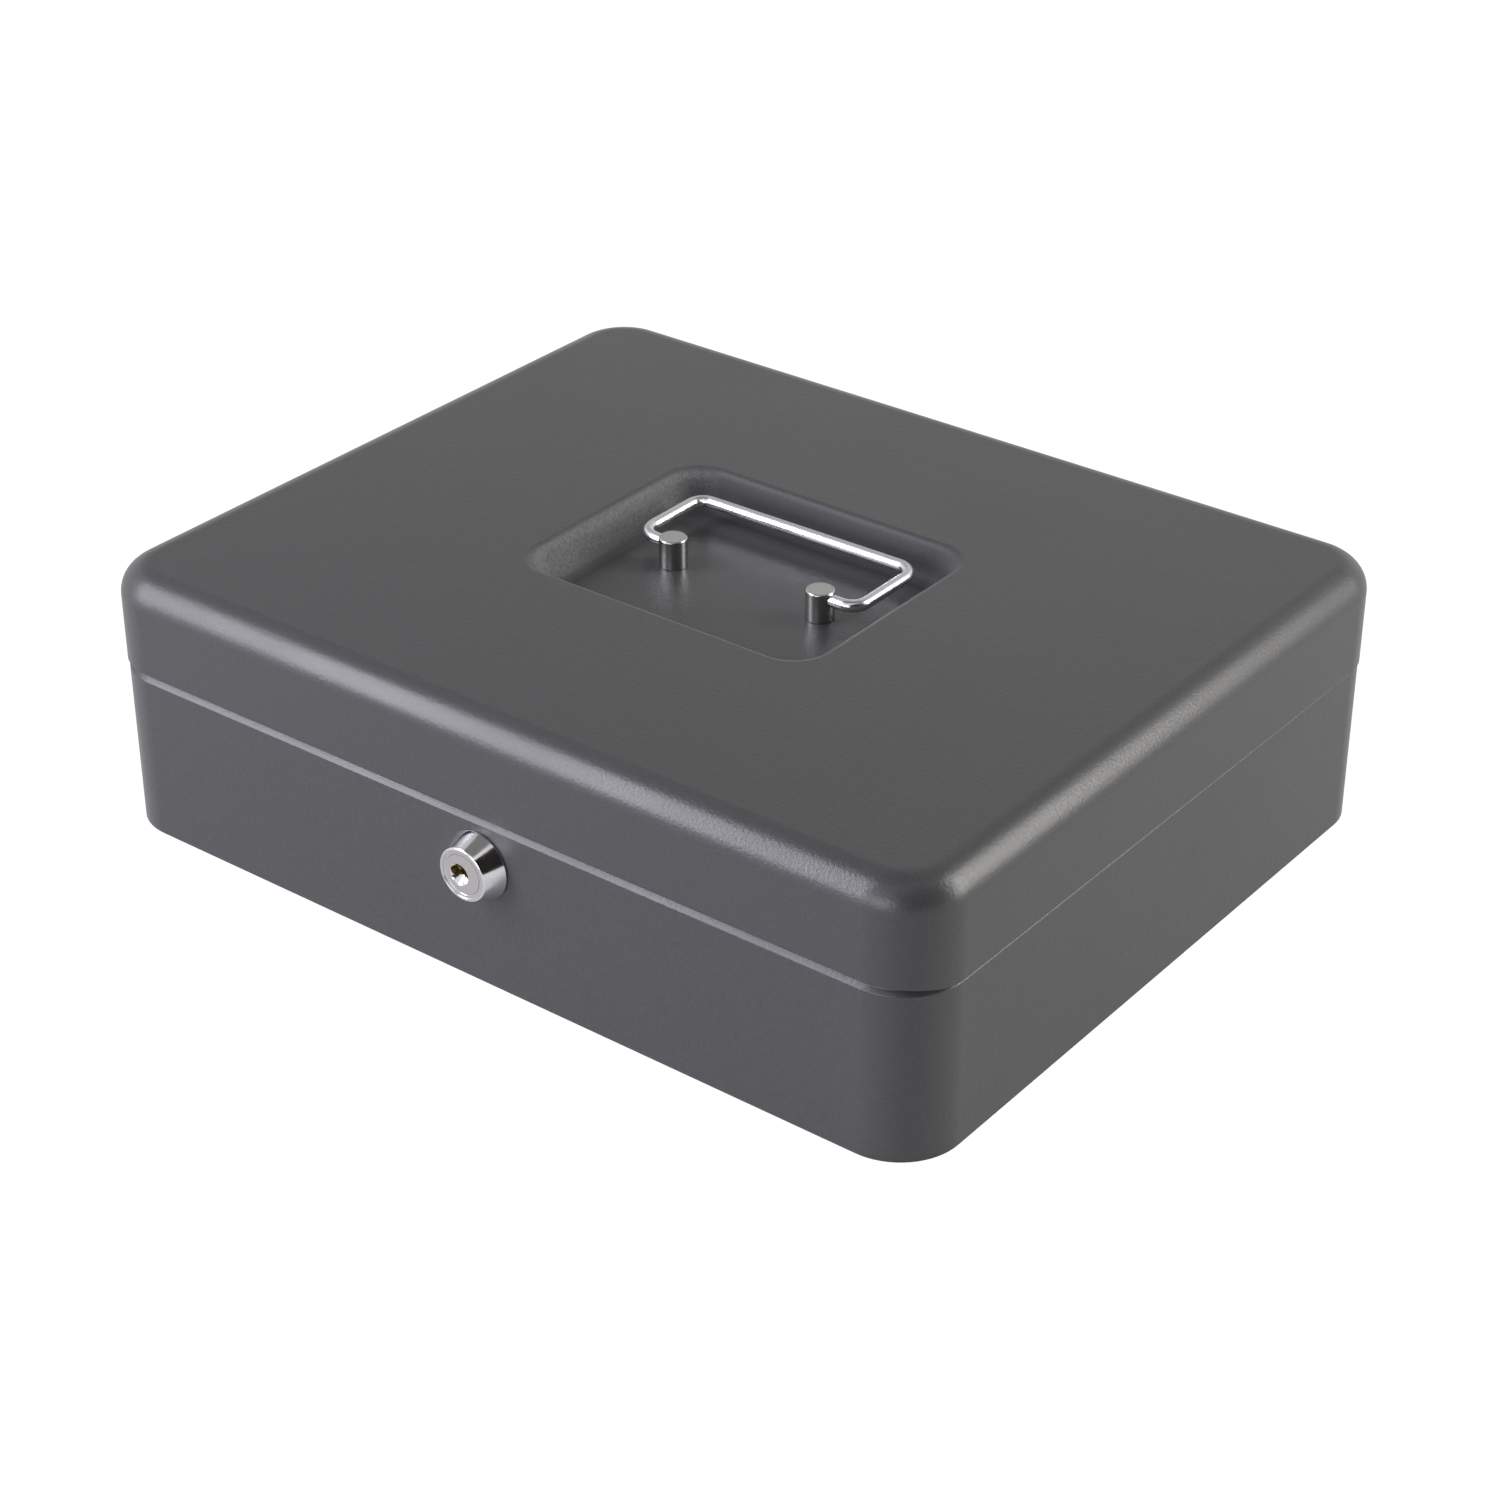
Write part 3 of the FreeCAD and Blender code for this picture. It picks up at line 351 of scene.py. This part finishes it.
# Lid
lidPressing = {
    "sheet": 0.8,  # mm of steel
    "corner": 19.9, "edge": 9.6,
    "recessLength": 104.6, "recessWidth": 83.6, "recessDrop": 11.2, "recessCorner": 12.0,
    "wallLean": 12.0,  # degrees
    "rimRound": 4.0, "floorRound": 7.0,
    "frontTrim": 2.1, "trimRun": 14.0,  # the front edge is cut higher than the sides
    "cutEdge": 0.15,
    "wallMargin": 4.0,  # dry powder reaches this far past the recess
    "setsIn": 4, "fades": 6,  # how fast it sets in above the floor and fades towards the rim
    "cornerSteps": 16, "edgeSteps": 14, "floorSteps": 8, "rimSteps": 6}


def makeLid(lid):
    low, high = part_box("lid_shell")
    top = high.z
    piece = roundedPlate("lid_pressing", low, high, lid["corner"] * mm, lid["cornerSteps"])
    push(0, 0, top - low.z)
    bpy.ops.mesh.bevel(offset=lid["edge"] * mm, segments=lid["edgeSteps"], affect="EDGES")
    pick("FACE", lambda where, f: abs(f.normal.z) > 0.99
         and (where.z < low.z + tiny or where.z > top - tiny))
    bpy.ops.mesh.delete(type="FACE")
    # recess, pressed down with leaning walls
    bpy.ops.mesh.primitive_plane_add(size=1, location=(0, 0, top))
    bpy.ops.transform.resize(value=(lid["recessLength"] * mm, lid["recessWidth"] * mm, 1),
                             center_override=(0, 0, top))
    bpy.ops.mesh.bevel(offset=lid["recessCorner"] * mm, segments=lid["cornerSteps"], affect="VERTICES")
    pick("FACE", lambda where, f: f.normal.z > 0.99 and where.z > top - tiny and where.length < top + tiny)
    lean = math.radians(lid["wallLean"])
    drop = lid["recessDrop"] * mm
    bpy.ops.mesh.inset(thickness=drop * math.tan(lean), depth=-drop)
    bend = math.tan((math.pi / 2 - lean) / 2)  # how far a rounding of 1 reaches from the bend
    bpy.ops.mesh.bevel(offset=lid["floorRound"] * mm * bend, segments=lid["floorSteps"], affect="EDGES")
    pick("EDGE", lambda where, e: e.is_boundary and where.z > top - tiny)
    bpy.ops.mesh.bridge_edge_loops()
    halfLength = lid["recessLength"] * mm / 2 + tiny
    halfWidth = lid["recessWidth"] * mm / 2 + tiny
    pick("EDGE", lambda where, e: all(
        v.co.z > top - tiny and abs(v.co.x) < halfLength and abs(v.co.y) < halfWidth for v in e.verts))
    bpy.ops.mesh.bevel(offset=lid["rimRound"] * mm * bend, segments=lid["rimSteps"], affect="EDGES")
    # the front edge of the skirt, cut on a slope into the side edges
    bpy.ops.mesh.select_all(action="SELECT")
    wall = low.y + lid["sheet"] * mm
    slope = Vector((0, lid["frontTrim"], lid["trimRun"])).normalized()
    bpy.ops.mesh.bisect(plane_co=(0, wall, low.z + lid["frontTrim"] * mm), plane_no=slope, clear_inner=True)
    bpy.ops.mesh.select_all(action="SELECT")
    bpy.ops.mesh.normals_make_consistent(inside=False)
    applyModifier(piece, "SOLIDIFY", thickness=lid["sheet"] * mm, offset=-1, use_even_offset=True)
    applyModifier(piece, "BEVEL", width=lid["cutEdge"] * mm, segments=2, limit_method="ANGLE",
                  angle_limit=math.radians(60))
    smooth(piece)
    # little powder reaches the recess walls, so it stays dry there; the left wall also gets painted light,
    # a paler colour for the lamp light that falls on it
    margin = lid["wallMargin"] * mm
    dry = piece.data.attributes.new("dryPowder", "FLOAT", "POINT")
    grit = piece.data.attributes.new("paintedLightLeftWall", "FLOAT", "POINT")
    for v in piece.data.vertices:
        inRecess = abs(v.co.x) < halfLength + margin and abs(v.co.y) < halfWidth + margin
        rise = (v.co.z - top) / drop + 1
        onWall = max(0, min(1, lid["setsIn"] * rise, lid["fades"] * (1 - rise))) if inRecess else 0
        # painted light: full at the left wall, fading out one corner radius towards the middle
        toLeft = (-v.co.x - halfLength) / (lid["recessCorner"] * mm) + 1
        dry.data[v.index].value = onWall
        grit.data[v.index].value = onWall * max(0, min(1, toLeft))
    settle(piece, powderCoat, "lid_shell")


makeLid(lidPressing)
print("lid made")


# Case
caseWall = {
    "sheet": 0.8, "corner": 19.5,
    "wallHeight": 52.6,
    "neckInset": 1.3,  # the shoulder slopes in and up by this much
    "shoulderRound": 0.6,
    "lockHole": 16.4, "holeFront": 2.0, "holeBack": 4.0,  # the cutter's ends, before and behind the wall
    "cutEdge": 0.15, "cornerSteps": 16, "shoulderSteps": 3}


def makeCase(case):
    low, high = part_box("body_wall")
    piece = roundedPlate("case_wall", low, high, case["corner"] * mm, case["cornerSteps"])
    push(0, 0, case["wallHeight"] * mm)
    bpy.ops.mesh.inset(thickness=case["neckInset"] * mm, depth=case["neckInset"] * mm)
    shoulderTop = (case["wallHeight"] + case["neckInset"]) * mm
    push(0, 0, high.z - shoulderTop)
    pick("FACE", lambda where, f: abs(f.normal.z) > 0.99)
    bpy.ops.mesh.delete(type="FACE")
    levels = (case["wallHeight"] * mm, shoulderTop)
    pick("EDGE", lambda where, e: any(all(abs(v.co.z - level) < tiny for v in e.verts) for level in levels))
    bpy.ops.mesh.bevel(offset=case["shoulderRound"] * mm * math.tan(math.pi / 8),
                       segments=case["shoulderSteps"], affect="EDGES")
    bpy.ops.mesh.select_all(action="SELECT")
    bpy.ops.mesh.normals_make_consistent(inside=False)
    applyModifier(piece, "SOLIDIFY", thickness=case["sheet"] * mm, offset=-1, use_even_offset=True)
    applyModifier(piece, "BEVEL", width=case["cutEdge"] * mm, segments=2, limit_method="ANGLE",
                  angle_limit=math.radians(60))
    hole = rod("hole", case["lockHole"] * mm / 2, (0, low.y - case["holeFront"] * mm, lockCentre.z),
               (0, low.y + case["holeBack"] * mm, lockCentre.z))
    cutAway(piece, hole)
    smooth(piece)
    settle(piece, powderCoat, "body_wall")


makeCase(caseWall)
print("case made")


# Handle
wireHandle = {
    "wire": 3.8, "end": 26.05, "arm": 40.5, "reach": 30.0,
    "rightFrontBend": 4.8, "rightBackBend": 6.2, "leftBackBend": 4.8, "leftFrontBend": 6.4,
    "outOfSquare": 0.6,  # the bar is further back on the right, as it came from the bender
    "crease": 0.35, "creaseReach": 0.2,  # pinch inside the left back bend, and half its width
    "smoothUpTo": 50, "sides": 24, "bendSteps": 10}


def makeHandle(handle):
    low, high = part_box("carry_handle")
    radius = handle["wire"] * mm / 2
    pivotY = low.y + radius
    pivotZ = (low.z + high.z) / 2
    startFresh()
    spot = Vector((handle["end"] * mm, pivotY, pivotZ))
    bpy.ops.mesh.primitive_circle_add(vertices=handle["sides"], radius=radius, fill_type="NGON",
                                      rotation=(0, math.pi / 2, 0), location=spot)
    piece = nameIt("handle_wire")
    bpy.ops.object.transform_apply(location=True, rotation=True, scale=True)
    editAll(piece)
    arm = handle["arm"] * mm
    bar = pivotY + handle["reach"] * mm
    skew = handle["outOfSquare"] * mm
    corners = (
        (Vector((arm, pivotY, pivotZ)), handle["rightFrontBend"] * mm),
        (Vector((arm, bar + skew, pivotZ)), handle["rightBackBend"] * mm),
        (Vector((-arm, bar - skew, pivotZ)), handle["leftBackBend"] * mm),
        (Vector((-arm, pivotY, pivotZ)), handle["leftFrontBend"] * mm))
    last = Vector((-handle["end"] * mm, pivotY, pivotZ))
    for number, (corner, bend) in enumerate(corners):
        after = corners[number + 1][0] if number + 1 < len(corners) else last
        wayIn = (corner - spot).normalized()
        wayOut = (after - corner).normalized()
        turn = wayIn.angle(wayOut)
        tangent = bend * math.tan(turn / 2)
        stop = corner - wayIn * tangent
        centre = stop + Vector((-wayIn.y, wayIn.x, 0)) * bend
        push(*(stop - spot))
        bpy.ops.mesh.spin(steps=handle["bendSteps"], angle=-turn, center=centre, axis=(0, 0, 1))
        spot = corner + wayOut * tangent
    push(*(last - spot))
    bpy.ops.mesh.select_all(action="SELECT")
    bpy.ops.mesh.remove_doubles(threshold=tiny)
    # the crease: the inside of the left back bend, pinched outwards
    corner, bend = corners[2]
    middle = corner + Vector((1, -1, 0)) * bend
    outward = Vector((-1, 1, 0)).normalized()
    pick("VERT", lambda where, v: abs((where - middle).cross(outward).z) < handle["creaseReach"] * mm
         and 0 < (where - middle).dot(outward) < bend - radius / 2)
    bpy.ops.transform.translate(value=outward * handle["crease"] * mm)
    bpy.ops.mesh.select_all(action="SELECT")
    bpy.ops.mesh.normals_make_consistent(inside=False)
    smooth(piece, handle["smoothUpTo"])
    settle(piece, wireChrome, "carry_handle")


makeHandle(wireHandle)
print("handle made")


# Posts
turnedPost = {
    "diameter": 8.9, "chamfer": 0.5, "footGroove": 0.25,
    "bore": 3.9, "boreDepth": 6.4, "boreHeight": 6.9,
    "dish": 0.06, "dishRim": 0.3, "boreRunout": 1.0, "sides": 72}


def makePosts(post):
    low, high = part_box("handle_post_right")
    middle = (low + high) / 2
    height = high.z - low.z
    startFresh()
    bpy.ops.mesh.primitive_cylinder_add(vertices=post["sides"], radius=post["diameter"] * mm / 2,
                                        depth=height, location=middle)
    piece = nameIt("post_right")
    bpy.ops.object.transform_apply(location=True, rotation=True, scale=True)
    editAll(piece)
    pick("EDGE", lambda where, e: all(v.co.z > high.z - tiny for v in e.verts))
    bpy.ops.mesh.bevel(offset=post["chamfer"] * mm, segments=3, affect="EDGES", profile=0.35)
    pick("EDGE", lambda where, e: all(v.co.z < low.z + tiny for v in e.verts))
    bpy.ops.mesh.bevel(offset=post["footGroove"] * mm, segments=2, affect="EDGES")
    pick("FACE", lambda where, f: f.normal.z > 0.99)
    bpy.ops.mesh.inset(thickness=post["dishRim"] * mm, depth=-post["dish"] * mm)
    boreZ = low.z + post["boreHeight"] * mm
    outside = high.x + post["boreRunout"] * mm
    bore = rod("bore", post["bore"] * mm / 2, (high.x - post["boreDepth"] * mm, middle.y, boreZ),
               (outside, middle.y, boreZ))
    cutAway(piece, bore)
    smooth(piece)
    twin = piece.copy()
    twin.data = piece.data.copy()
    twin.name = "post_left"
    twin.data.name = "post_left"
    bpy.context.collection.objects.link(twin)
    editAll(twin)
    bpy.ops.transform.rotate(value=math.pi, orient_axis="Z", center_override=(0, middle.y, middle.z))
    startFresh()
    for made, node in ((piece, "handle_post_right"), (twin, "handle_post_left")):
        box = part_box(node)
        side = node.split("_")[-1]
        facing = turnedMetal("faced_nickel_" + side, "#b6b5b4", 0.42, 0.4, (box[0] + box[1]) / 2,
                             "Z", "RINGS")
        settle(made, [nickelSide, facing], node)
        for face in made.data.polygons:
            face.material_index = 1 if face.normal.z > 0.99 else 0


makePosts(turnedPost)
print("posts made")


# Lock
lockCone = {
    "foot": 11.1, "tip": 8.2, "projection": 7.0, "rimWidth": 0.9, "rimDepth": 0.25,
    "headBore": 6.25, "coreBore": 5.35, "headSeat": 3.65,
    "tipRound": 0.45, "rimRound": 0.2, "footRound": 0.7, "boreRound": 0.15,
    "thread": 8.0, "threadDepth": 0.45, "threadPitch": 1.0, "barrel": 16.0, "flats": 14.0,
    "satinFrom": 5.0,  # the end faces further out than this are satin
    "tipSteps": 6, "smoothUpTo": 40, "turns": 96}


def spinRound(piece, steps):
    bpy.ops.mesh.select_all(action="SELECT")
    bpy.ops.mesh.spin(steps=steps, angle=2 * math.pi, center=lockCentre, axis=(0, 1, 0))
    bpy.ops.mesh.select_all(action="SELECT")
    bpy.ops.mesh.remove_doubles(threshold=tiny / 4)
    bpy.ops.mesh.normals_make_consistent(inside=False)


def makeLock(lock):
    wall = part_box("body_wall")[0].y

    def at(radius, forward):
        return Vector((radius * mm, wall - forward * mm, lockCentre.z))

    face = lock["projection"] - lock["rimDepth"]
    rim = lock["tip"] - lock["rimWidth"]
    outline = [
        at(lock["coreBore"], 0), at(lock["coreBore"], lock["headSeat"]),
        at(lock["headBore"], lock["headSeat"]), at(lock["headBore"], face),
        at(rim, face), at(rim, lock["projection"]),
        at(lock["tip"], lock["projection"]), at(lock["foot"], 0)]
    piece = drawOutline("lock_cone", outline)
    bpy.ops.mesh.edge_face_add()  # corners round off only on a face, which goes again before the spin
    roundCorner(at(lock["tip"], lock["projection"]), lock["tipRound"] * mm, lock["tipSteps"])
    roundCorner(at(rim, lock["projection"]), lock["rimRound"] * mm)
    roundCorner(at(lock["foot"], 0), lock["footRound"] * mm)
    roundCorner(at(lock["headBore"], face), lock["boreRound"] * mm)
    pick("FACE", lambda where, f: True)
    bpy.ops.mesh.delete(type="ONLY_FACE")
    spinRound(piece, lock["turns"])
    # threaded barrel behind the wall, with two flats
    count = int(lock["barrel"] / lock["threadPitch"])
    root = lock["thread"] - lock["threadDepth"]
    outline = [at(lock["coreBore"], 0)]
    for number in range(count):
        start = number * lock["threadPitch"]
        outline += [at(root, -start), at(lock["thread"], -start - lock["threadPitch"] / 2)]
    outline += [at(root, -lock["barrel"]), at(lock["coreBore"], -lock["barrel"])]
    barrel = drawOutline("lock_thread", outline)
    spinRound(barrel, lock["turns"] // 2)
    for side in (-1, 1):
        bpy.ops.mesh.select_all(action="SELECT")
        bpy.ops.mesh.bisect(plane_co=(side * lock["flats"] * mm / 2, 0, 0), plane_no=(side, 0, 0),
                            clear_outer=True, use_fill=True)
    startFresh()
    barrel.select_set(True)
    piece.select_set(True)
    bpy.context.view_layer.objects.active = piece
    bpy.ops.object.join()
    smooth(piece, lock["smoothUpTo"])
    settle(piece, [lockChrome, satinFace], "lock_barrel")
    for part in piece.data.polygons:
        onFace = part.normal.y < -0.99 and part.center.y < wall - lock["satinFrom"] * mm
        part.material_index = 1 if onFace else 0


makeLock(lockCone)
print("lock made")


# Small parts that keep the shape of their solids, with broken edges
def softCopy(node, name, width):
    piece = bpy.data.objects.new(name, frame["nodes"][node].data.copy())
    piece.data.name = name
    bpy.context.collection.objects.link(piece)
    activate(piece)
    bpy.ops.mesh.customdata_custom_splitnormals_clear()
    editAll(piece)
    bpy.ops.mesh.remove_doubles(threshold=tiny / 10)
    bpy.ops.mesh.dissolve_limited(angle_limit=math.radians(0.3))
    applyModifier(piece, "BEVEL", width=width * mm, segments=2, limit_method="ANGLE",
                  angle_limit=math.radians(40))
    smooth(piece)
    settle(piece, finishOf[slotOf[node]], node)
    return piece


softPieces = {  # node of the solid: name of the piece and the width of its broken edges in mm
    "coin_tray": ("tray_moulding", 0.5),
    "lid_catch": ("catch_hook", 0.25),
    "tray_ledge_left": ("ledge_left", 0.15), "tray_ledge_right": ("ledge_right", 0.15),
    "hinge_case_leaf_left": ("case_leaf_left", 0.2), "hinge_case_leaf_right": ("case_leaf_right", 0.2),
    "hinge_lid_leaf_left": ("lid_leaf_left", 0.2), "hinge_lid_leaf_right": ("lid_leaf_right", 0.2),
    "lock_nut": ("nut_hex", 0.25), "lock_cam": ("cam_arm", 0.2)}
for node, (name, width) in softPieces.items():
    softCopy(node, name, width)
print("small parts finished:", len(softPieces))


# Plug: satin face, polished countersink and the bare brass of the keyway
lockPlug = {
    "edge": 0.12, "mouthLeft": 1.2, "mouthDrop": 0.4, "mouth": 3.5, "mouthDepth": 2.3,
    "keyway": 3.3, "keywayRise": 1.65, "brassFrom": 0.4}


def makePlug(plug):
    piece = softCopy("lock_plug", "plug_core", plug["edge"])
    piece.data.materials.append(lockChrome)
    piece.data.materials.append(brass)
    middle = lockCentre + Vector((-plug["mouthLeft"], 0, 0)) * mm
    for face in piece.data.polygons:
        away = (face.center - middle) / mm
        fromMouth = math.hypot(away.x, away.z + plug["mouthDrop"])
        inMouth = fromMouth < plug["mouth"] and away.y < plug["mouthDepth"]
        inKeyway = abs(away.x) < plug["keyway"] and abs(away.z) < plug["keywayRise"]
        if inKeyway and away.y > plug["brassFrom"]:
            face.material_index = 2
        elif inMouth and -0.95 < face.normal.y < -0.4:
            face.material_index = 1


makePlug(lockPlug)
print("plug made")


# Floor, light and camera
studio = {
    "floor": 6.0, "sunkBy": 0.2,  # m, and mm below the box
    "paper": "#cfcfcf", "glow": 1.14,
    "glowShare": 0.85, "sheenShare": 0.55,  # how much of the glow shows to the camera, and in reflections
    "ambient": 0.06,
    "boxes": {  # middle, width and height in m, turn about its own middle in degrees, power in W, colour
        "left_front_box": ((-1.33, -1.47, 1.05), (0.85, 2.1), 24, 61.0, "#f4f3ff"),
        "right_back_box": ((1.4, 1.06, 0.8), (0.52, 1.6), -20, 35.0, "#fffcf8"),
        "low_front_box": ((0.3, -2.1, 0.55), (1.3, 0.8), 0, 16.0, "#f6f5ff")},
    "flags": {  # middle and size of each card in m, and its brightness as a colour
        "back_left_flag": ((-0.85, 0.95, 1.35), 2.0, "#babab8"),
        "left_card": ((-0.9, 0.08, 1.25), 0.7, "#dcdcdc"),
        "back_card": ((-0.42, 1.2, 0.75), 0.8, "#d6d6d4"),
        "ceiling_flag": ((-0.4, 0.4, 1.9), 2.8, "#848482"),
        "camera_flag": ((1.15, -1.25, 0.75), 1.4, "#1e1d1c"),
        "right_flag": ((1.3, -0.35, 0.85), 1.7, "#2a2724")},
    "cameraSpot": (532.64, -687.51, 532.87), "target": (2.16, 0.0, 20.69),
    "lens": 79.07, "sensor": 36.0, "clipFrom": 0.01}


def seenAsBackground(tree, sheen):
    # 1 for the camera and through glass, and the share given for reflections
    path = addNode(tree, "ShaderNodeLightPath")
    mirrored = addNode(tree, "ShaderNodeMath", {"operation": "MULTIPLY", 1: sheen},
                       {0: path.outputs["Is Glossy Ray"]})
    direct = addNode(tree, "ShaderNodeMath", {"operation": "MAXIMUM"},
                     {0: path.outputs["Is Camera Ray"], 1: path.outputs["Is Transmission Ray"]})
    seen = addNode(tree, "ShaderNodeMath", {"operation": "MAXIMUM"},
                   {0: direct.outputs[0], 1: mirrored.outputs[0]})
    return seen.outputs[0]


def makeFloor():
    startFresh()
    bpy.ops.mesh.primitive_plane_add(size=studio["floor"], location=(0, 0, -studio["sunkBy"] * mm))
    floor = nameIt("floor")
    bpy.ops.object.transform_apply(location=True, rotation=True, scale=True)
    material, tree, shader = newFinish("white_paper_sweep")[:3]
    shader.inputs["Base Color"].default_value = toLinear(studio["paper"])
    shader.inputs["Roughness"].default_value = 0.9
    glow = addNode(tree, "ShaderNodeEmission", {"Strength": studio["glow"]})
    share = addNode(tree, "ShaderNodeMath", {"operation": "MULTIPLY", 1: studio["glowShare"]},
                    {0: seenAsBackground(tree, studio["sheenShare"])})
    mixed = addNode(tree, "ShaderNodeMixShader", None,
                    {0: share.outputs[0], 1: shader.outputs[0], 2: glow.outputs[0]})
    tree.links.new(mixed.outputs[0], tree.nodes["Material Output"].inputs["Surface"])
    floor.data.materials.append(material)


def makeWorld():
    world = bpy.data.worlds.new("studio")
    bpy.context.scene.world = world
    world.use_nodes = True
    tree = world.node_tree
    level = addNode(tree, "ShaderNodeMapRange", {"To Min": studio["ambient"], "To Max": 1.0},
                    {"Value": seenAsBackground(tree, 1.0)})
    tree.links.new(level.outputs["Result"], tree.nodes["Background"].inputs["Strength"])
    tree.nodes["Background"].inputs["Color"].default_value = (1, 1, 1, 1)


def makeLights():
    for name, (spot, size, turn, power, colour) in studio["boxes"].items():
        startFresh()
        bpy.ops.object.light_add(type="AREA", location=spot)
        lamp = bpy.context.object
        lamp.name = name
        facing = (-Vector(spot)).to_track_quat("-Z", "Y") @ Quaternion((0, 0, 1), math.radians(turn))
        lamp.rotation_euler = facing.to_euler()
        lamp.data.shape = "RECTANGLE"
        lamp.data.size, lamp.data.size_y = size
        lamp.data.energy = power
        lamp.data.color = toLinear(colour)[:3]
        lamp.visible_camera = False


def makeFlags():
    # cards that the camera does not see: they set how dark or pale the sheen and the plating are
    for name, (spot, size, colour) in studio["flags"].items():
        startFresh()
        bpy.ops.mesh.primitive_plane_add(size=size, location=spot,
                                         rotation=(-Vector(spot)).to_track_quat("Z", "Y").to_euler())
        card = nameIt(name)
        bpy.ops.object.transform_apply(location=True, rotation=True, scale=True)
        material, tree = newFinish(name)[:2]
        glow = addNode(tree, "ShaderNodeEmission", {"Color": toLinear(colour), "Strength": 1.0})
        tree.links.new(glow.outputs[0], tree.nodes["Material Output"].inputs["Surface"])
        card.data.materials.append(material)
        card.visible_camera = False


def makeCamera():
    startFresh()
    spot = Vector(studio["cameraSpot"]) * mm
    aim = Vector(studio["target"]) * mm - spot
    bpy.ops.object.camera_add(location=spot, rotation=aim.to_track_quat("-Z", "Y").to_euler())
    camera = bpy.context.object
    camera.name = "photo_camera"
    camera.data.lens = studio["lens"]
    camera.data.sensor_width = studio["sensor"]
    camera.data.clip_start = studio["clipFrom"]
    bpy.context.scene.camera = camera


makeFloor()
makeWorld()
makeLights()
makeFlags()
makeCamera()
bpy.context.scene.view_settings.view_transform = "Standard"
print("studio ready")
